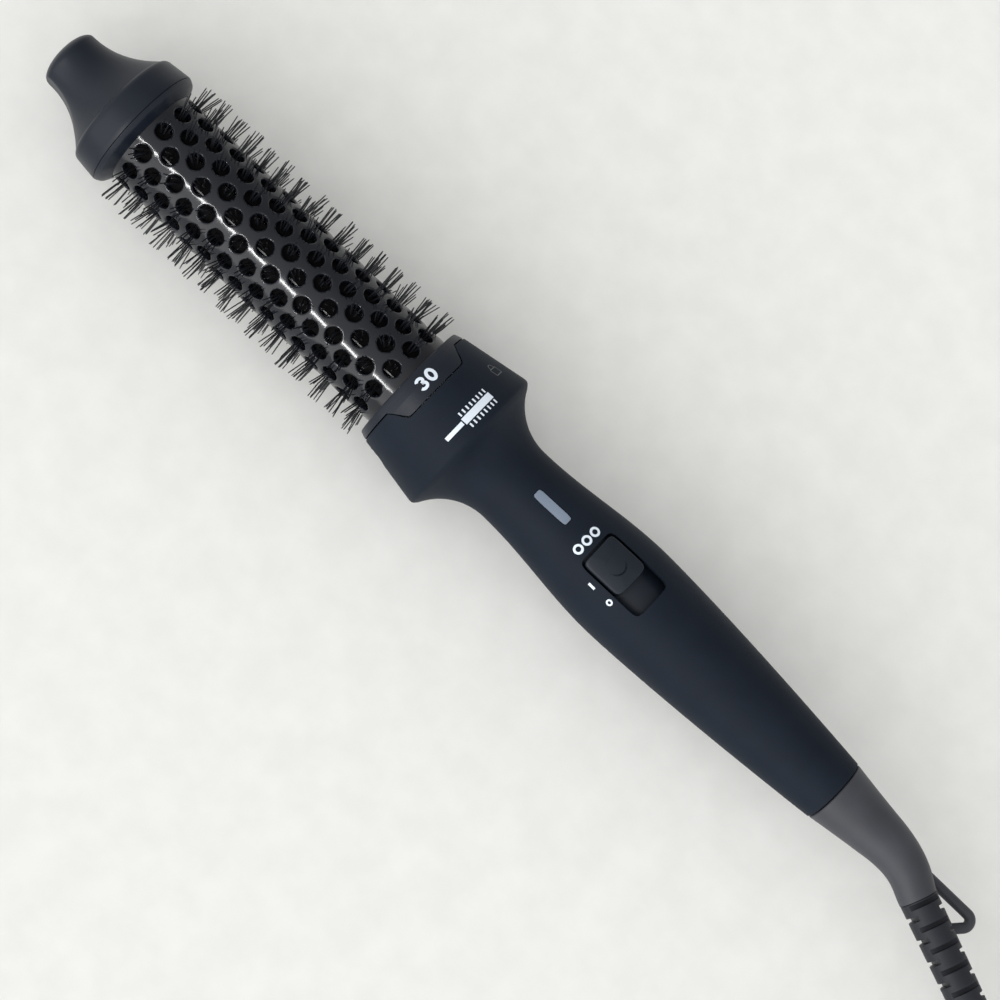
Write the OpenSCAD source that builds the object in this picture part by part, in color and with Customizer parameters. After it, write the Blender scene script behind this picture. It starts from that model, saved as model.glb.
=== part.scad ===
// Heated curling brush with a barrel of 30 mm, a grip handle, a swivel cord and a two-pin plug.
// The axis of the brush lies along X, with the barrel's tip towards +X and the switch on top.

/* [Barrel] */
// Outside diameter of the perforated barrel
barrel_d = 30; // [29:0.5:31]
// Wall of the barrel
barrel_wall = 0.8; // [0.6:0.1:1]
// Length of barrel that shows between the collar and the tip ring
barrel_shown = 97.15; // [94:0.05:100]
// How deep each end of the barrel sits in its ring
barrel_seat = 1.6; // [1.5:0.1:2]
// Diameter of the holes that the bristles come through
hole_d = 4.8; // [4:0.1:5]
// Distance between holes along one row
hole_pitch = 11.85; // [11.5:0.05:12.1]
// Number of holes in a row
holes_in_row = 8; // [7:1:8]
// Distance from the collar to the middle of the first hole
first_hole = 4.6; // [4.3:0.1:5]
// Angle that the rows of holes are turned by, about the axis
row_turn = -6.3; // [-7.5:0.1:7.5]

/* [Bristles] */
// Number of bristle strips, each with two rows of bristles
strips = 12; // [10:1:12]
// Diameter of the circle of bristle tips
bristle_tip_d = 42; // [38:0.5:43]
// Thickness of one bristle
bristle_d = 0.6; // [0.5:0.05:0.8]
// Distance between the two bristles of a hole, along the barrel
bristle_spread = 1.4; // [1:0.1:1.8]
// Width of a bristle strip
strip_w = 5.6; // [5:0.1:5.7]
// Thickness of a bristle strip
strip_t = 1.5; // [1.2:0.1:1.7]
// Height of a strip's top over the axis
strip_top = 12.8; // [12.7:0.05:13]

/* [Heater] */
// Diameter of the aluminium heater core
core_d = 21.6; // [20:0.2:22]
// Diameter of the tie rod through the middle of the brush head
tie_rod_d = 3; // [2.5:0.1:3.2]
// Width of a heating stone
stone_w = 12; // [10:0.5:13]
// Thickness of a heating stone
stone_t = 2.2; // [1.8:0.1:2.4]
// Length of a heating stone
stone_len = 18; // [15:0.5:19]
// Thickness of an electrode plate
electrode_t = 0.4; // [0.3:0.05:0.5]
// Thickness of the insulation wrapped round a heater stack
wrap_t = 0.3; // [0.2:0.05:0.4]

/* [Cool tip] */
// Diameter of the flange that guards the barrel's front end
flange_d = 38.3; // [36:0.1:40]
// Length of the flange
flange_len = 8.4; // [8:0.1:10]
// Length of the ring between the flange and the barrel
ring_len = 3.6; // [3.2:0.1:4]
// Diameter of the end of the tip
tip_end_d = 18.2; // [17:0.1:19]
// Length of the hollow flare between the flange and the tip's end
tip_flare = 18.6; // [17:0.1:20]
// Length of the rounded end
tip_round = 3.5; // [2.5:0.1:4]

/* [Collar] */
// Length of the collar in front of the handle
collar_len = 2.4; // [2.2:0.1:3]
// Diameter of the collar at its front edge
collar_front_d = 37.2; // [36:0.1:38]
// Diameter of the collar where it meets the handle
collar_d = 38.6; // [38:0.1:38.8]
// Length of the tongue that lies over the handle
tongue_len = 5.2; // [4.5:0.1:5.6]
// Width of the tongue at its root
tongue_root_w = 27; // [25:0.5:28]
// Width of the tongue at its rear edge
tongue_tip_w = 20.5; // [18:0.5:22]
// Thickness of the tongue
tongue_t = 1.1; // [1:0.1:1.3]
// Diameter of the spigot that plugs into the handle
spigot_d = 25.2; // [24.6:0.1:25.4]
// Length of the spigot
spigot_len = 21; // [19:0.5:21.5]
// Diameter of a contact pin
contact_d = 2.4; // [2:0.1:2.6]

/* [Handle] */
// Diameter of the handle's head at its front edge
head_front_d = 38.9; // [38.6:0.1:39.4]
// Diameter of the handle's head at its shoulder, which is what the brush rests on
head_d = 46.1; // [45:0.1:47]
// Length of the head in front of the shoulder
head_len = 20.35; // [20:0.05:21]
// Radius of the hollow between the shoulder and the neck
hollow_r = 17.4; // [17.2:0.1:18]
// Diameter of the neck
neck_d = 24.4; // [24:0.1:25]
// Distance from the front seam to the neck
neck_at = 37.95; // [37.9:0.05:38.4]
// Largest diameter of the grip
grip_d = 30.66; // [30.4:0.02:32]
// Distance from the front seam to the thickest part of the grip
grip_at = 80.85; // [80:0.05:82]
// Diameter of the handle's rear end
tail_d = 19.9; // [19.6:0.1:20.6]
// Length of the handle from seam to seam
handle_len = 159.5; // [159:0.5:166]
// Wall of the handle shells
shell_wall = 1.8; // [1.6:0.05:1.9]

/* [Power switch] */
// Length of the switch window
window_len = 21.7; // [21:0.1:23]
// Width of the switch window
window_w = 13; // [12.4:0.1:13.4]
// Distance from the front seam to the middle of the switch window
window_at = 76.4; // [75.6:0.1:77.4]
// Length of the slider's raised cap
cap_len = 13.3; // [12:0.1:14]
// Width of the slider's raised cap
cap_w = 11.3; // [10:0.1:11.5]
// Travel of the slider from I to O
switch_travel = 6; // [5:0.1:6.2]
// Diameter of the ring mark on the slider
ring_mark_d = 5.8; // [5:0.1:7]

/* [Indicator and release button] */
// Distance from the front seam to the indicator
lens_at = 49.8; // [49:0.1:51]
// Length of the indicator lens
lens_len = 11.9; // [10:0.1:13]
// Width of the indicator lens
lens_w = 2.9; // [2:0.1:3.4]
// Distance from the front seam to the release button
button_at = 6; // [5.5:0.1:7]
// Diameter of the release button
button_d = 5.5; // [5:0.1:5.8]
// Height of the release button's middle under the axis
button_drop = 3.7; // [3.7:0.1:4.2]
// Travel of the release button
button_travel = 1.2; // [1:0.1:1.3]

/* [Tail] */
// Diameter of the boot at its front edge
boot_d = 19.6; // [19:0.1:20]
// Diameter of the boot where the strain relief starts
boot_end_d = 11.1; // [11:0.1:11.6]
// Angle that the boot turns the cord away from the axis
boot_turn = 21.8; // [19:0.1:24]
// Length of the strain relief
relief_len = 45; // [40:0.5:48]
// Diameter of the strain relief at the boot
relief_d = 10.9; // [10.6:0.1:11]
// Diameter of the strain relief at the cord
relief_end_d = 10; // [9.4:0.1:10.4]
// Distance from one strain relief slot to the next on the same side
slot_pitch = 6.5; // [6.3:0.1:6.8]
// Width of a strain relief slot
slot_w = 1.5; // [1.2:0.1:1.7]
// Diameter of the swivel spindle
spindle_d = 9.8; // [9:0.1:10]
// Length of the swivel spindle inside the handle
spindle_len = 18; // [17:0.5:18.5]

/* [Hanging loop] */
// Thickness of the hanging loop
loop_rod_d = 3.2; // [2.8:0.1:3.4]
// Radius of the loop's corners along the middle of the rod
loop_corner_r = 2.2; // [2:0.1:3]
// Height of the loop's middle under the axis
loop_drop = 7.6; // [7.5:0.1:7.9]

/* [Cord and plug] */
// Diameter of the cord
cord_d = 6; // [5.6:0.1:6.2]
// Length of the straight runs of the hank
hank_run = 120; // [110:1:120]
// Smallest radius of the hank's end loops
hank_r = 18; // [18:0.1:20]
// Step from one loop of the hank to the next
hank_step = 6.9; // [6.8:0.05:7.2]
// Layers in the hank
hank_layers = 4; // [2:2:4]
// How far the tie draws the hank in at its waist
hank_pull = 9; // [7:0.5:9]
// Thickness of the hank's tie
tie_t = 0.9; // [0.7:0.1:1]
// Width of the hank's tie
tie_w = 12; // [8:0.5:16]
// Length of the plug's body
plug_len = 36; // [34:0.5:38]
// Width of the plug's body
plug_w = 35.3; // [34:0.1:36]
// Thickness of the plug's body
plug_t = 13.7; // [12.5:0.1:14.5]
// Diameter of a plug pin
plug_pin_d = 4; // [3.8:0.1:4.2]
// Length of a plug pin
plug_pin_len = 19; // [17:0.5:20]
// Distance between the two plug pins
plug_pin_gap = 19; // [18:0.1:20]

/* [Clearances] */
// Gap between two bodies that move against each other
run_gap = 0.3; // [0.25:0.05:0.35]
// Gap round a turning spindle, a button or a sliding contact
shaft_gap = 0.1; // [0.08:0.01:0.15]
// Gap round a piece that is seated in its own body
seat_gap = 0.05; // [0.04:0.01:0.1]
// Width of the seam lines
seam_w = 0.3; // [0.25:0.05:0.4]

/* [Hidden] */
$fn = 64;

// Colours, as the photograph shows them
soft_black = [0.16, 0.165, 0.195];
satin_grey = [0.24, 0.255, 0.275];
tail_grey = [0.3, 0.305, 0.325];
barrel_black = [0.1, 0.1, 0.11];
bristle_black = [0.07, 0.07, 0.08];
steel = [0.7, 0.71, 0.73];
brass = [0.78, 0.64, 0.36];
board_green = [0.12, 0.36, 0.2];
white_plastic = [0.88, 0.88, 0.86];

// Places along the axis, measured from the front seam of the handle towards the tip
axis_h = head_d / 2;
barrel_r = barrel_d / 2;
bore_r = barrel_r - barrel_wall;
barrel_rear = collar_len - barrel_seat;
ring_rear = collar_len + barrel_shown;
barrel_front = ring_rear + barrel_seat;
flange_rear = ring_rear + ring_len + seam_w;
flare_rear = flange_rear + flange_len;
tip_round_rear = flare_rear + tip_flare;
tip_end = tip_round_rear + tip_round;
spigot_rear = -spigot_len;
shells_front = -seam_w;
boot_front = -handle_len - seam_w;

// The brush head's two hubs, which hold the strips and the heater core between them
hub_seat = 1.5;
rear_hub_len = 4;
pocket_depth = 1.2;
rear_hub_front = barrel_rear + rear_hub_len;
front_hub_rear = barrel_front - hub_seat;
strip_rear = rear_hub_front - pocket_depth + seat_gap;
strip_front = front_hub_rear + pocket_depth - seat_gap;
core_len = front_hub_rear - rear_hub_front;
hub_front = flange_rear + 2.5;
bulkhead_t = 3.8;
bulkhead_rear = barrel_rear - bulkhead_t;

// The heater's two stacks lie above and below the tie rod
stack_t = stone_t + 2 * electrode_t + 2 * wrap_t;
stack_mid = tie_rod_d / 2 + 1.6 + stack_t / 2;
stack_w = stone_w + 2 * wrap_t;
contact_y = stone_w / 4;
stones = 4;
stone_gap = 1;
stones_len = stones * stone_len + (stones - 1) * stone_gap;
spigot_wall = 1.6;
spigot_bore_r = spigot_d / 2 - spigot_wall;
contact_plug_t = 4;
contact_plug_front = spigot_rear + contact_plug_t;
contact_len = 8;

// Rows of holes
rows = 2 * strips;
row_angle = 360 / rows;
function hole_u(k, odd) = collar_len + first_hole + (k + odd / 2) * hole_pitch;

// The handle's outside radius at a distance behind the front seam
hollow_start = head_len + 2.2;
tail_power = 1.42;
function hollow_radius(d, wall) =
    neck_d / 2 + hollow_r - sqrt(pow(hollow_r + wall, 2) - pow(neck_at - d, 2));
function swell_radius(d) =
    neck_d / 2 + (grip_d - neck_d) / 4 * (1 - cos(180 * (d - neck_at) / (grip_at - neck_at)));
function taper_radius(d) =
    grip_d / 2 - (grip_d - tail_d) / 2 * pow((d - grip_at) / (handle_len - grip_at), tail_power);
function head_radius(d) = (head_front_d + (head_d - head_front_d) * d / head_len) / 2;
function handle_radius(d) =
    d <= head_len ? head_radius(d)
    : d <= neck_at ? hollow_radius(d, 0)
    : d <= grip_at ? swell_radius(d)
    : taper_radius(d);

// Outline of the handle, as radius and place along the axis, from its front edge to its rear
shoulder_points = [
    [head_radius(head_len - 1.2), -head_len + 1.2],
    [head_d / 2, -head_len],
    [head_d / 2 - 0.07, -head_len - 0.75],
    [head_d / 2 - 0.4, -head_len - 1.3],
    [head_d / 2 - 0.95, -head_len - 1.75]
];
hollow_steps = 10;
swell_steps = 14;
taper_steps = 18;
hollow_places = [for (i = [0:hollow_steps - 1])
    hollow_start + (neck_at - hollow_start) * pow(i / hollow_steps, 1.3)];
swell_places = [for (i = [0:swell_steps - 1]) neck_at + (grip_at - neck_at) * i / swell_steps];
taper_places = [for (i = [0:taper_steps]) grip_at + (handle_len - grip_at) * i / taper_steps];
handle_outside = concat(
    [[head_radius(seam_w), -seam_w]],
    shoulder_points,
    [for (d = hollow_places) [handle_radius(d), -d]],
    [for (d = swell_places) [handle_radius(d), -d]],
    [for (d = taper_places) [handle_radius(d), -d]]
);
inner_start = head_len + 0.4;
inner_places = [for (i = [0:hollow_steps - 1])
    inner_start + (neck_at - inner_start) * i / hollow_steps];
handle_inside = concat(
    [[head_radius(seam_w) - shell_wall, -seam_w]],
    [[head_d / 2 - shell_wall, -head_len - 0.1]],
    [for (d = inner_places) [hollow_radius(d, shell_wall), -d]],
    [for (d = swell_places) [handle_radius(d) - shell_wall, -d]],
    [for (d = taper_places) [handle_radius(d) - shell_wall, -d]]
);
function inside_radius(d) = handle_radius(d) - shell_wall;
function backwards(points) = [for (i = [len(points) - 1:-1:0]) points[i]];

// Turns a half-outline of radius and place round the axis of the brush
module turned(start = 0, angle = 360) {
    rotate([0, 90, 0]) rotate_extrude(angle = angle, start = start) children();
}

// A round bar along the axis from one place to another
module bar(from, to, r) {
    translate([from, 0, 0]) rotate([0, 90, 0]) cylinder(r = r, h = to - from);
}

// A tube along the axis from one place to another
module pipe(from, to, r, bore) {
    difference() {
        bar(from, to, r);
        bar(from - 1, to + 1, bore);
    }
}

// A box given by its middle along X and Y, its lowest height and its size
module block(x, y, z, size) {
    translate([x - size[0] / 2, y - size[1] / 2, z]) cube(size);
}

// Points of a rectangle with round corners and slightly bowed sides
bow = 8;
function bowed(a) = (a < 0 ? -1 : 1) * pow(abs(a), 2 / bow);
function soft_rectangle(length, width) =
    [for (a = [3.75:7.5:360]) [length / 2 * bowed(cos(a)), width / 2 * bowed(sin(a))]];
function ellipse_arc(length, radius) =
    [for (a = [0:9:90]) [radius * sin(a), length * cos(a)]];

// The hanging loop's triangle, measured from the front edge of the boot, and its rounded corners
loop_points = [[-21.7, -2.7], [-56.8, -2.7], [-45.1, 9.8]];
function corner_between(i) =
    let (
        p = loop_points[i],
        before = unit(loop_points[(i + 2) % 3] - p),
        after = unit(loop_points[(i + 1) % 3] - p),
        half = acos(before * after) / 2
    )
    [p + unit(before + after) * loop_corner_r / sin(half), half];
corner_steps = 8;
function loop_corner(i) =
    let (
        corner = corner_between(i),
        outward = unit(loop_points[i] - corner[0]),
        turn = 90 - corner[1],
        middle = atan2(outward[1], outward[0])
    )
    [for (k = [0:corner_steps])
        let (a = middle + turn * (1 - 2 * k / corner_steps))
        [
            [corner[0][0] + loop_corner_r * cos(a), corner[0][1] + loop_corner_r * sin(a), 0],
            [sin(a), -cos(a), 0]
        ]];
loop_route = [for (i = [0:2]) each loop_corner(i)];
loop_reach = -corner_between(1)[0][0] + loop_corner_r + loop_rod_d / 2;

// Moves a piece from the axis of the brush to its place over the floor
place_x = (handle_len + seam_w + loop_reach - tip_end) / 2;
module placed() {
    translate([place_x, 0, axis_h]) children();
}

// Unit vectors and frames for the tubes that follow a route
function unit(v) = v / norm(v);
function along(points, i) =
    unit(points[min(i + 1, len(points) - 1)] - points[max(i - 1, 0)]);
function ring_at(centre, tangent, r, sides) =
    let (side = unit(cross([0, 0, 1], tangent)), up = cross(tangent, side))
    [for (k = [0:sides - 1])
        let (a = 360 * (k + 0.5) / sides) centre + r * cos(a) * side + r * sin(a) * up];

// Walls of a tube between one ring of points and the next
function tube_walls(spans, sides, points) =
    [for (i = [0:spans - 1], k = [0:sides - 1], half = [0, 1])
        let (
            a = i * sides + k,
            b = i * sides + (k + 1) % sides,
            next_a = (a + sides) % points,
            next_b = (b + sides) % points
        )
        half == 0 ? [a, next_a, b] : [b, next_a, next_b]];

// A tube with closed ends along a route, with one radius for each of its points
module swept(points, radii, sides, first, last) {
    n = len(points);
    tangents = [for (i = [0:n - 1]) i == 0 ? first : i == n - 1 ? last : along(points, i)];
    rings = [for (i = [0:n - 1]) each ring_at(points[i], tangents[i], radii[i], sides)];
    near_end = [for (k = [1:sides - 2]) [0, k, k + 1]];
    far_start = (n - 1) * sides;
    far_end = [for (k = [1:sides - 2]) [far_start, far_start + k + 1, far_start + k]];
    walls = tube_walls(n - 1, sides, len(rings));
    polyhedron(rings, concat(walls, near_end, far_end), convexity = 10);
}

// Brush head: the heated barrel unit that plugs into the handle

// Hollow plastic tip with the guard flange and two flattened sides on its neck
tip_bore_r = barrel_r - 0.6;
tip_hollow_r = 6.8;
tip_wall = 3;
rod_thread = 14;
module cool_tip() {
    neck_power = 2.2;
    neck_steps = 12;
    neck_end_r = flange_d / 2 - 1.9;
    edge = 0.35;
    flat_r = 22.2;
    flat_y = tip_end_d / 2 - 0.6;
    flare = [for (i = [1:neck_steps])
        let (t = i / neck_steps)
        [
            tip_end_d / 2 + (neck_end_r - tip_end_d / 2) * pow(t, neck_power),
            tip_round_rear - tip_flare * t
        ]];
    flange_edge = [
        [neck_end_r + 0.7, flare_rear - 0.5],
        [neck_end_r + 1.1, flare_rear - 1.3],
        [flange_d / 2, flange_rear + edge],
        [flange_d / 2 - edge, flange_rear],
        [0, flange_rear]
    ];
    end = [for (p = ellipse_arc(tip_round, tip_end_d / 2)) [p[0], tip_round_rear + p[1]]];
    color(satin_grey) placed() {
        difference() {
            turned() polygon(concat(end, flare, flange_edge));
            turned() polygon([
                [0, flange_rear - 1],
                [tip_bore_r, flange_rear - 1],
                [tip_bore_r, flare_rear - tip_wall],
                [tip_hollow_r, flare_rear + 2 * tip_wall],
                [tip_hollow_r, tip_round_rear - tip_wall],
                [0, tip_round_rear - tip_wall]
            ]);
            for (side = [-1, 1])
                translate([tip_round_rear, side * (flat_y + flat_r), 0])
                    cylinder(r = flat_r, h = 2 * flange_d, center = true);
        }
        pipe(hub_front + seat_gap, tip_round_rear - tip_wall + 0.5,
            tie_rod_d / 2 + 1.7, tie_rod_d / 2 + seat_gap);
    }
}

// Ring between the flange and the barrel, with a rear face that slopes down to the barrel
module tip_ring() {
    edge = 0.35;
    front = ring_rear + ring_len;
    color(satin_grey) placed() turned() polygon([
        [barrel_r + seat_gap, ring_rear],
        [flange_d / 2 - 1.1, ring_rear + 1.1],
        [flange_d / 2 - 0.8, ring_rear + 1.45],
        [flange_d / 2 - 0.4, front - edge],
        [flange_d / 2 - 0.4 - edge, front],
        [barrel_r + seat_gap, front]
    ]);
}

// Perforated metal tube with staggered rows of holes
module barrel() {
    color(barrel_black) placed() difference() {
        pipe(barrel_rear, barrel_front, barrel_r, bore_r);
        for (row = [0:rows - 1], k = [0:holes_in_row - 1])
            rotate([(row - 0.5) * row_angle + row_turn, 0, 0])
                translate([hole_u(k, row % 2), 0, barrel_r - 2 * barrel_wall])
                    cylinder(d = hole_d, h = 3 * barrel_wall, $fn = 32);
    }
}

// Outline of the tongue that lies over the handle, seen from above
module tongue_outline(spare) {
    corner = 1.2;
    hull() {
        translate([0.5, 0]) square([1, tongue_root_w + 2 * spare], center = true);
        for (side = [-1, 1])
            translate([-tongue_len + corner, side * (tongue_tip_w / 2 - corner)])
                circle(r = corner + spare, $fn = 24);
    }
}

// Collar that closes the barrel, with the spigot that plugs into the handle and its size tongue
module barrel_collar() {
    edge = 0.4;
    spigot_r = spigot_d / 2;
    catch_r = 1.6;
    ramp = 1.2;
    color(satin_grey) placed() {
        difference() {
            turned() polygon([
                [0, barrel_rear],
                [barrel_r + seat_gap, barrel_rear],
                [barrel_r + seat_gap, collar_len],
                [collar_front_d / 2 - edge, collar_len],
                [collar_front_d / 2, collar_len - edge],
                [collar_d / 2, 0],
                [spigot_r, 0],
                [spigot_r, spigot_rear + 0.6],
                [spigot_r - 0.6, spigot_rear],
                [spigot_bore_r, spigot_rear],
                [spigot_bore_r, bulkhead_rear],
                [0, bulkhead_rear]
            ]);
            bar(bulkhead_rear - 1, barrel_rear + 1, tie_rod_d / 2 + shaft_gap);
            for (level = [-1, 1])
                block((barrel_rear + bulkhead_rear) / 2, 0, level * stack_mid - stack_t / 2 - seat_gap,
                    [bulkhead_t + 2, stone_w + 2 * seat_gap, stack_t + 2 * seat_gap]);
            translate([-button_at, spigot_r - 2 * spigot_wall, -button_drop])
                rotate([-90, 0, 0]) cylinder(r = catch_r, h = 3 * spigot_wall);
        }
        intersection() {
            turned() polygon([
                [collar_d / 2 - tongue_t, 0.2],
                [collar_d / 2, 0.2],
                [collar_d / 2, 0],
                [head_radius(ramp), -ramp],
                [head_radius(tongue_len + 1), -tongue_len - 1],
                [head_radius(tongue_len + 1) - tongue_t, -tongue_len - 1],
                [head_radius(ramp) - tongue_t, -ramp]
            ]);
            linear_extrude(height = head_d) tongue_outline(0);
        }
    }
}

// Slots in a hub that take the ends of the bristle strips
module strip_pockets(from, to) {
    for (i = [0:strips - 1])
        rotate([i * 360 / strips + row_turn, 0, 0])
            block((from + to) / 2, 0, strip_top - strip_t - seat_gap,
                [to - from, strip_w + 2 * seat_gap, strip_t + 2 * seat_gap]);
}

// Windows in a hub for the heater stacks' leads
module stack_windows(from, to) {
    for (level = [-1, 1])
        block((from + to) / 2, 0, level * stack_mid - stack_t / 2 - seat_gap,
            [to - from, stack_w, stack_t + 2 * seat_gap]);
}

// Front hub, which centres the barrel's front end and carries the cool tip
module front_hub() {
    shoulder = 0.6;
    color(white_plastic) placed() difference() {
        union() {
            bar(front_hub_rear, barrel_front, bore_r - seat_gap);
            bar(barrel_front, barrel_front + shoulder, barrel_r);
            bar(barrel_front + shoulder, hub_front, tip_bore_r - seat_gap);
        }
        bar(front_hub_rear - 1, hub_front + 1, tie_rod_d / 2 + shaft_gap);
        strip_pockets(front_hub_rear - 1, front_hub_rear + pocket_depth);
    }
}

// Rear hub, between the collar and the heater core
module rear_hub() {
    color(white_plastic) placed() difference() {
        bar(barrel_rear, rear_hub_front, bore_r - seat_gap);
        bar(barrel_rear - 1, rear_hub_front + 1, tie_rod_d / 2 + shaft_gap);
        strip_pockets(rear_hub_front - pocket_depth, rear_hub_front + 1);
        stack_windows(barrel_rear - 1, rear_hub_front + 1);
    }
}

// Aluminium core with a slot for each heater stack and a bore for the tie rod
module heater_core() {
    color(steel) placed() difference() {
        bar(rear_hub_front, front_hub_rear, core_d / 2);
        bar(rear_hub_front - 1, front_hub_rear + 1, tie_rod_d / 2 + shaft_gap);
        stack_windows(rear_hub_front - 1, front_hub_rear + 1);
    }
}

// A layer of a heater stack, repeated in both stacks and mirrored about the tie rod
module stack_layer(from, length, width, offset_z, thickness) {
    for (level = [0, 180])
        rotate([level, 0, 0])
            block(from + length / 2, 0, stack_mid + offset_z, [length, width, thickness]);
}

// Ceramic heating stones, four in each stack
stones_rear = rear_hub_front + (core_len - stones_len) / 2;
module ptc_heaters() {
    color([0.45, 0.42, 0.4]) placed()
        for (i = [0:stones - 1])
            stack_layer(stones_rear + i * (stone_len + stone_gap), stone_len, stone_w, -stone_t / 2, stone_t);
}

// Electrode plates on both faces of the stones, each with a tab that reaches back through the hub
module electrode_plates() {
    tab_w = stone_w / 2 - 1;
    tab_rear = bulkhead_rear - 2.5;
    tab_len = stones_rear - tab_rear + 1;
    color(brass) placed()
        for (level = [0, 180], face = [-1, 1])
            rotate([level, 0, 0]) {
                plate_z = stack_mid + (face > 0 ? stone_t / 2 : -stone_t / 2 - electrode_t);
                block(stones_rear + stones_len / 2, 0, plate_z, [stones_len, stone_w, electrode_t]);
                block(tab_rear + tab_len / 2, face * contact_y, plate_z, [tab_len, tab_w, electrode_t]);
            }
}

// Insulating sleeves wrapped round the two stacks
module heater_insulation() {
    length = stones_len + 2;
    height = stack_t;
    color([0.72, 0.45, 0.16, 0.9]) placed()
        for (level = [0, 180])
            rotate([level, 0, 0]) difference() {
                block(stones_rear + stones_len / 2, 0, stack_mid - height / 2,
                    [length, stack_w - 0.02, height]);
                block(stones_rear + stones_len / 2, 0, stack_mid - height / 2 + wrap_t,
                    [length + 2, stone_w, height - 2 * wrap_t]);
            }
}

// Tie rod that draws the tip, the barrel and the collar together
module tie_rod() {
    head_t = 2;
    color(steel) placed() {
        bar(bulkhead_rear - head_t, bulkhead_rear, tie_rod_d);
        bar(bulkhead_rear - 0.2, flange_rear + rod_thread, tie_rod_d / 2);
    }
}

// Thermal fuse along the inside of the spigot
module thermal_fuse() {
    fuse_r = 1.7;
    color(steel) placed() translate([0, spigot_bore_r - fuse_r - seat_gap, 0])
        bar(contact_plug_front + 1.5, contact_plug_front + 10, fuse_r);
}

// Thermostat disc against the other side of the spigot
module thermostat() {
    disc_r = 2.4;
    color(steel) placed()
        translate([contact_plug_front + 5, -spigot_bore_r + 0.35, 0])
            rotate([-90, 0, 0]) cylinder(r = disc_r, h = 2);
}

// Four leads from the electrode tabs to the contact plug
module lead_wires() {
    color([0.75, 0.2, 0.16]) placed()
        for (level = [0, 180], side = [-1, 1])
            rotate([level, 0, 0]) translate([0, side * contact_y, stack_mid])
                bar(contact_plug_front, bulkhead_rear + 1, stone_t / 2 - seat_gap);
}

// Insulating plug that closes the spigot and holds the contact pins
module contact_plug() {
    color(white_plastic) placed() difference() {
        bar(spigot_rear, contact_plug_front, spigot_bore_r - seat_gap);
        for (side = [-1, 1], level = [-1, 1])
            translate([0, side * contact_y, level * stack_mid])
                bar(spigot_rear - 1, contact_plug_front + 1, contact_d / 2 + seat_gap);
    }
}

// Four contact pins that plug into the handle
module contact_pins() {
    color(brass) placed()
        for (side = [-1, 1], level = [-1, 1])
            translate([0, side * contact_y, level * stack_mid])
                bar(spigot_rear - contact_len, contact_plug_front, contact_d / 2);
}

// One three-sided bristle from its root in a strip to its tip
module bristle(root, tip) {
    points = [for (end = [root, tip], k = [0:2])
        end + (end == root ? 1 : 0.7) * bristle_d / 2 * [cos(120 * k), sin(120 * k), 0]];
    polyhedron(points, [
        [0, 1, 2], [3, 5, 4],
        [0, 3, 1], [1, 3, 4],
        [1, 4, 2], [2, 4, 5],
        [2, 5, 0], [0, 5, 3]
    ]);
}

// Backing bar with the two rows of bristles that come through the barrel over it
module bristle_strip(number) {
    root_depth = 0.5;
    fan = 0.6;
    color(bristle_black) placed() rotate([(number - 1) * 360 / strips + row_turn, 0, 0]) {
        block((strip_rear + strip_front) / 2, 0, strip_top - strip_t,
            [strip_front - strip_rear, strip_w, strip_t]);
        for (odd = [0, 1], k = [0:holes_in_row - 1], side = [-1, 1]) {
            u = hole_u(k, odd);
            a = (odd - 0.5) * row_angle;
            root_r = (strip_top - root_depth) / cos(a);
            spread = side * bristle_spread / 2;
            aside = -side * 0.4;
            root = [
                u + spread,
                -root_r * sin(a) + aside * cos(a),
                root_r * cos(a) + aside * sin(a)
            ];
            tip_r = bristle_tip_d / 2;
            tip_aside = aside * 2.2;
            tip = [
                u + spread + side * fan,
                -tip_r * sin(a) + tip_aside * cos(a),
                tip_r * cos(a) + tip_aside * sin(a)
            ];
            bristle(root, tip);
        }
    }
}
module bristle_strip_01() bristle_strip(1);
module bristle_strip_02() bristle_strip(2);
module bristle_strip_03() bristle_strip(3);
module bristle_strip_04() bristle_strip(4);
module bristle_strip_05() bristle_strip(5);
module bristle_strip_06() bristle_strip(6);
module bristle_strip_07() bristle_strip(7);
module bristle_strip_08() bristle_strip(8);
module bristle_strip_09() bristle_strip(9);
module bristle_strip_10() bristle_strip(10);
module bristle_strip_11() bristle_strip(11);
module bristle_strip_12() bristle_strip(12);

// Handle: two shells along the grip, with the switch, the board and the swivel inside

// Where the shell screws stand, behind the front seam: the rear one is between board and swivel
cup_front = boot_front + spindle_len + 3.3;
lens_lip = 0.8;
screw_d = 2.6;
boss_r = 2.6;
screw_places = [lens_at - lens_len / 2 - lens_lip - boss_r - 0.4, -cup_front - 15];
socket_bore_r = spigot_d / 2 + run_gap;
socket_r = socket_bore_r + 1;
socket_rear = spigot_rear - 0.5;
socket_wall = 2.3;
socket_front = shells_front - 0.3;
board_rear = cup_front + 22.5;
board_front = -lens_at + 5;
board_w = 15;
board_t = 1.6;
board_top = -1;
board_bottom = board_top - board_t;
board_screws_at = [-lens_at - 10, -window_at - 11.5];
post_r = 2.4;
ion_gap = 1.85;
plate_r = 11.7;
plate_t = 1.2;

// Half of the handle's shell: the upper half faces +Z
module half_shell(upper) {
    turned(upper ? 90 : -90, 180) polygon(concat(handle_outside, backwards(handle_inside)));
}

// Switch window, seen from above
module window_outline(spare) {
    translate([-window_at, 0]) polygon(soft_rectangle(window_len + 2 * spare, window_w + 2 * spare));
}

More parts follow.
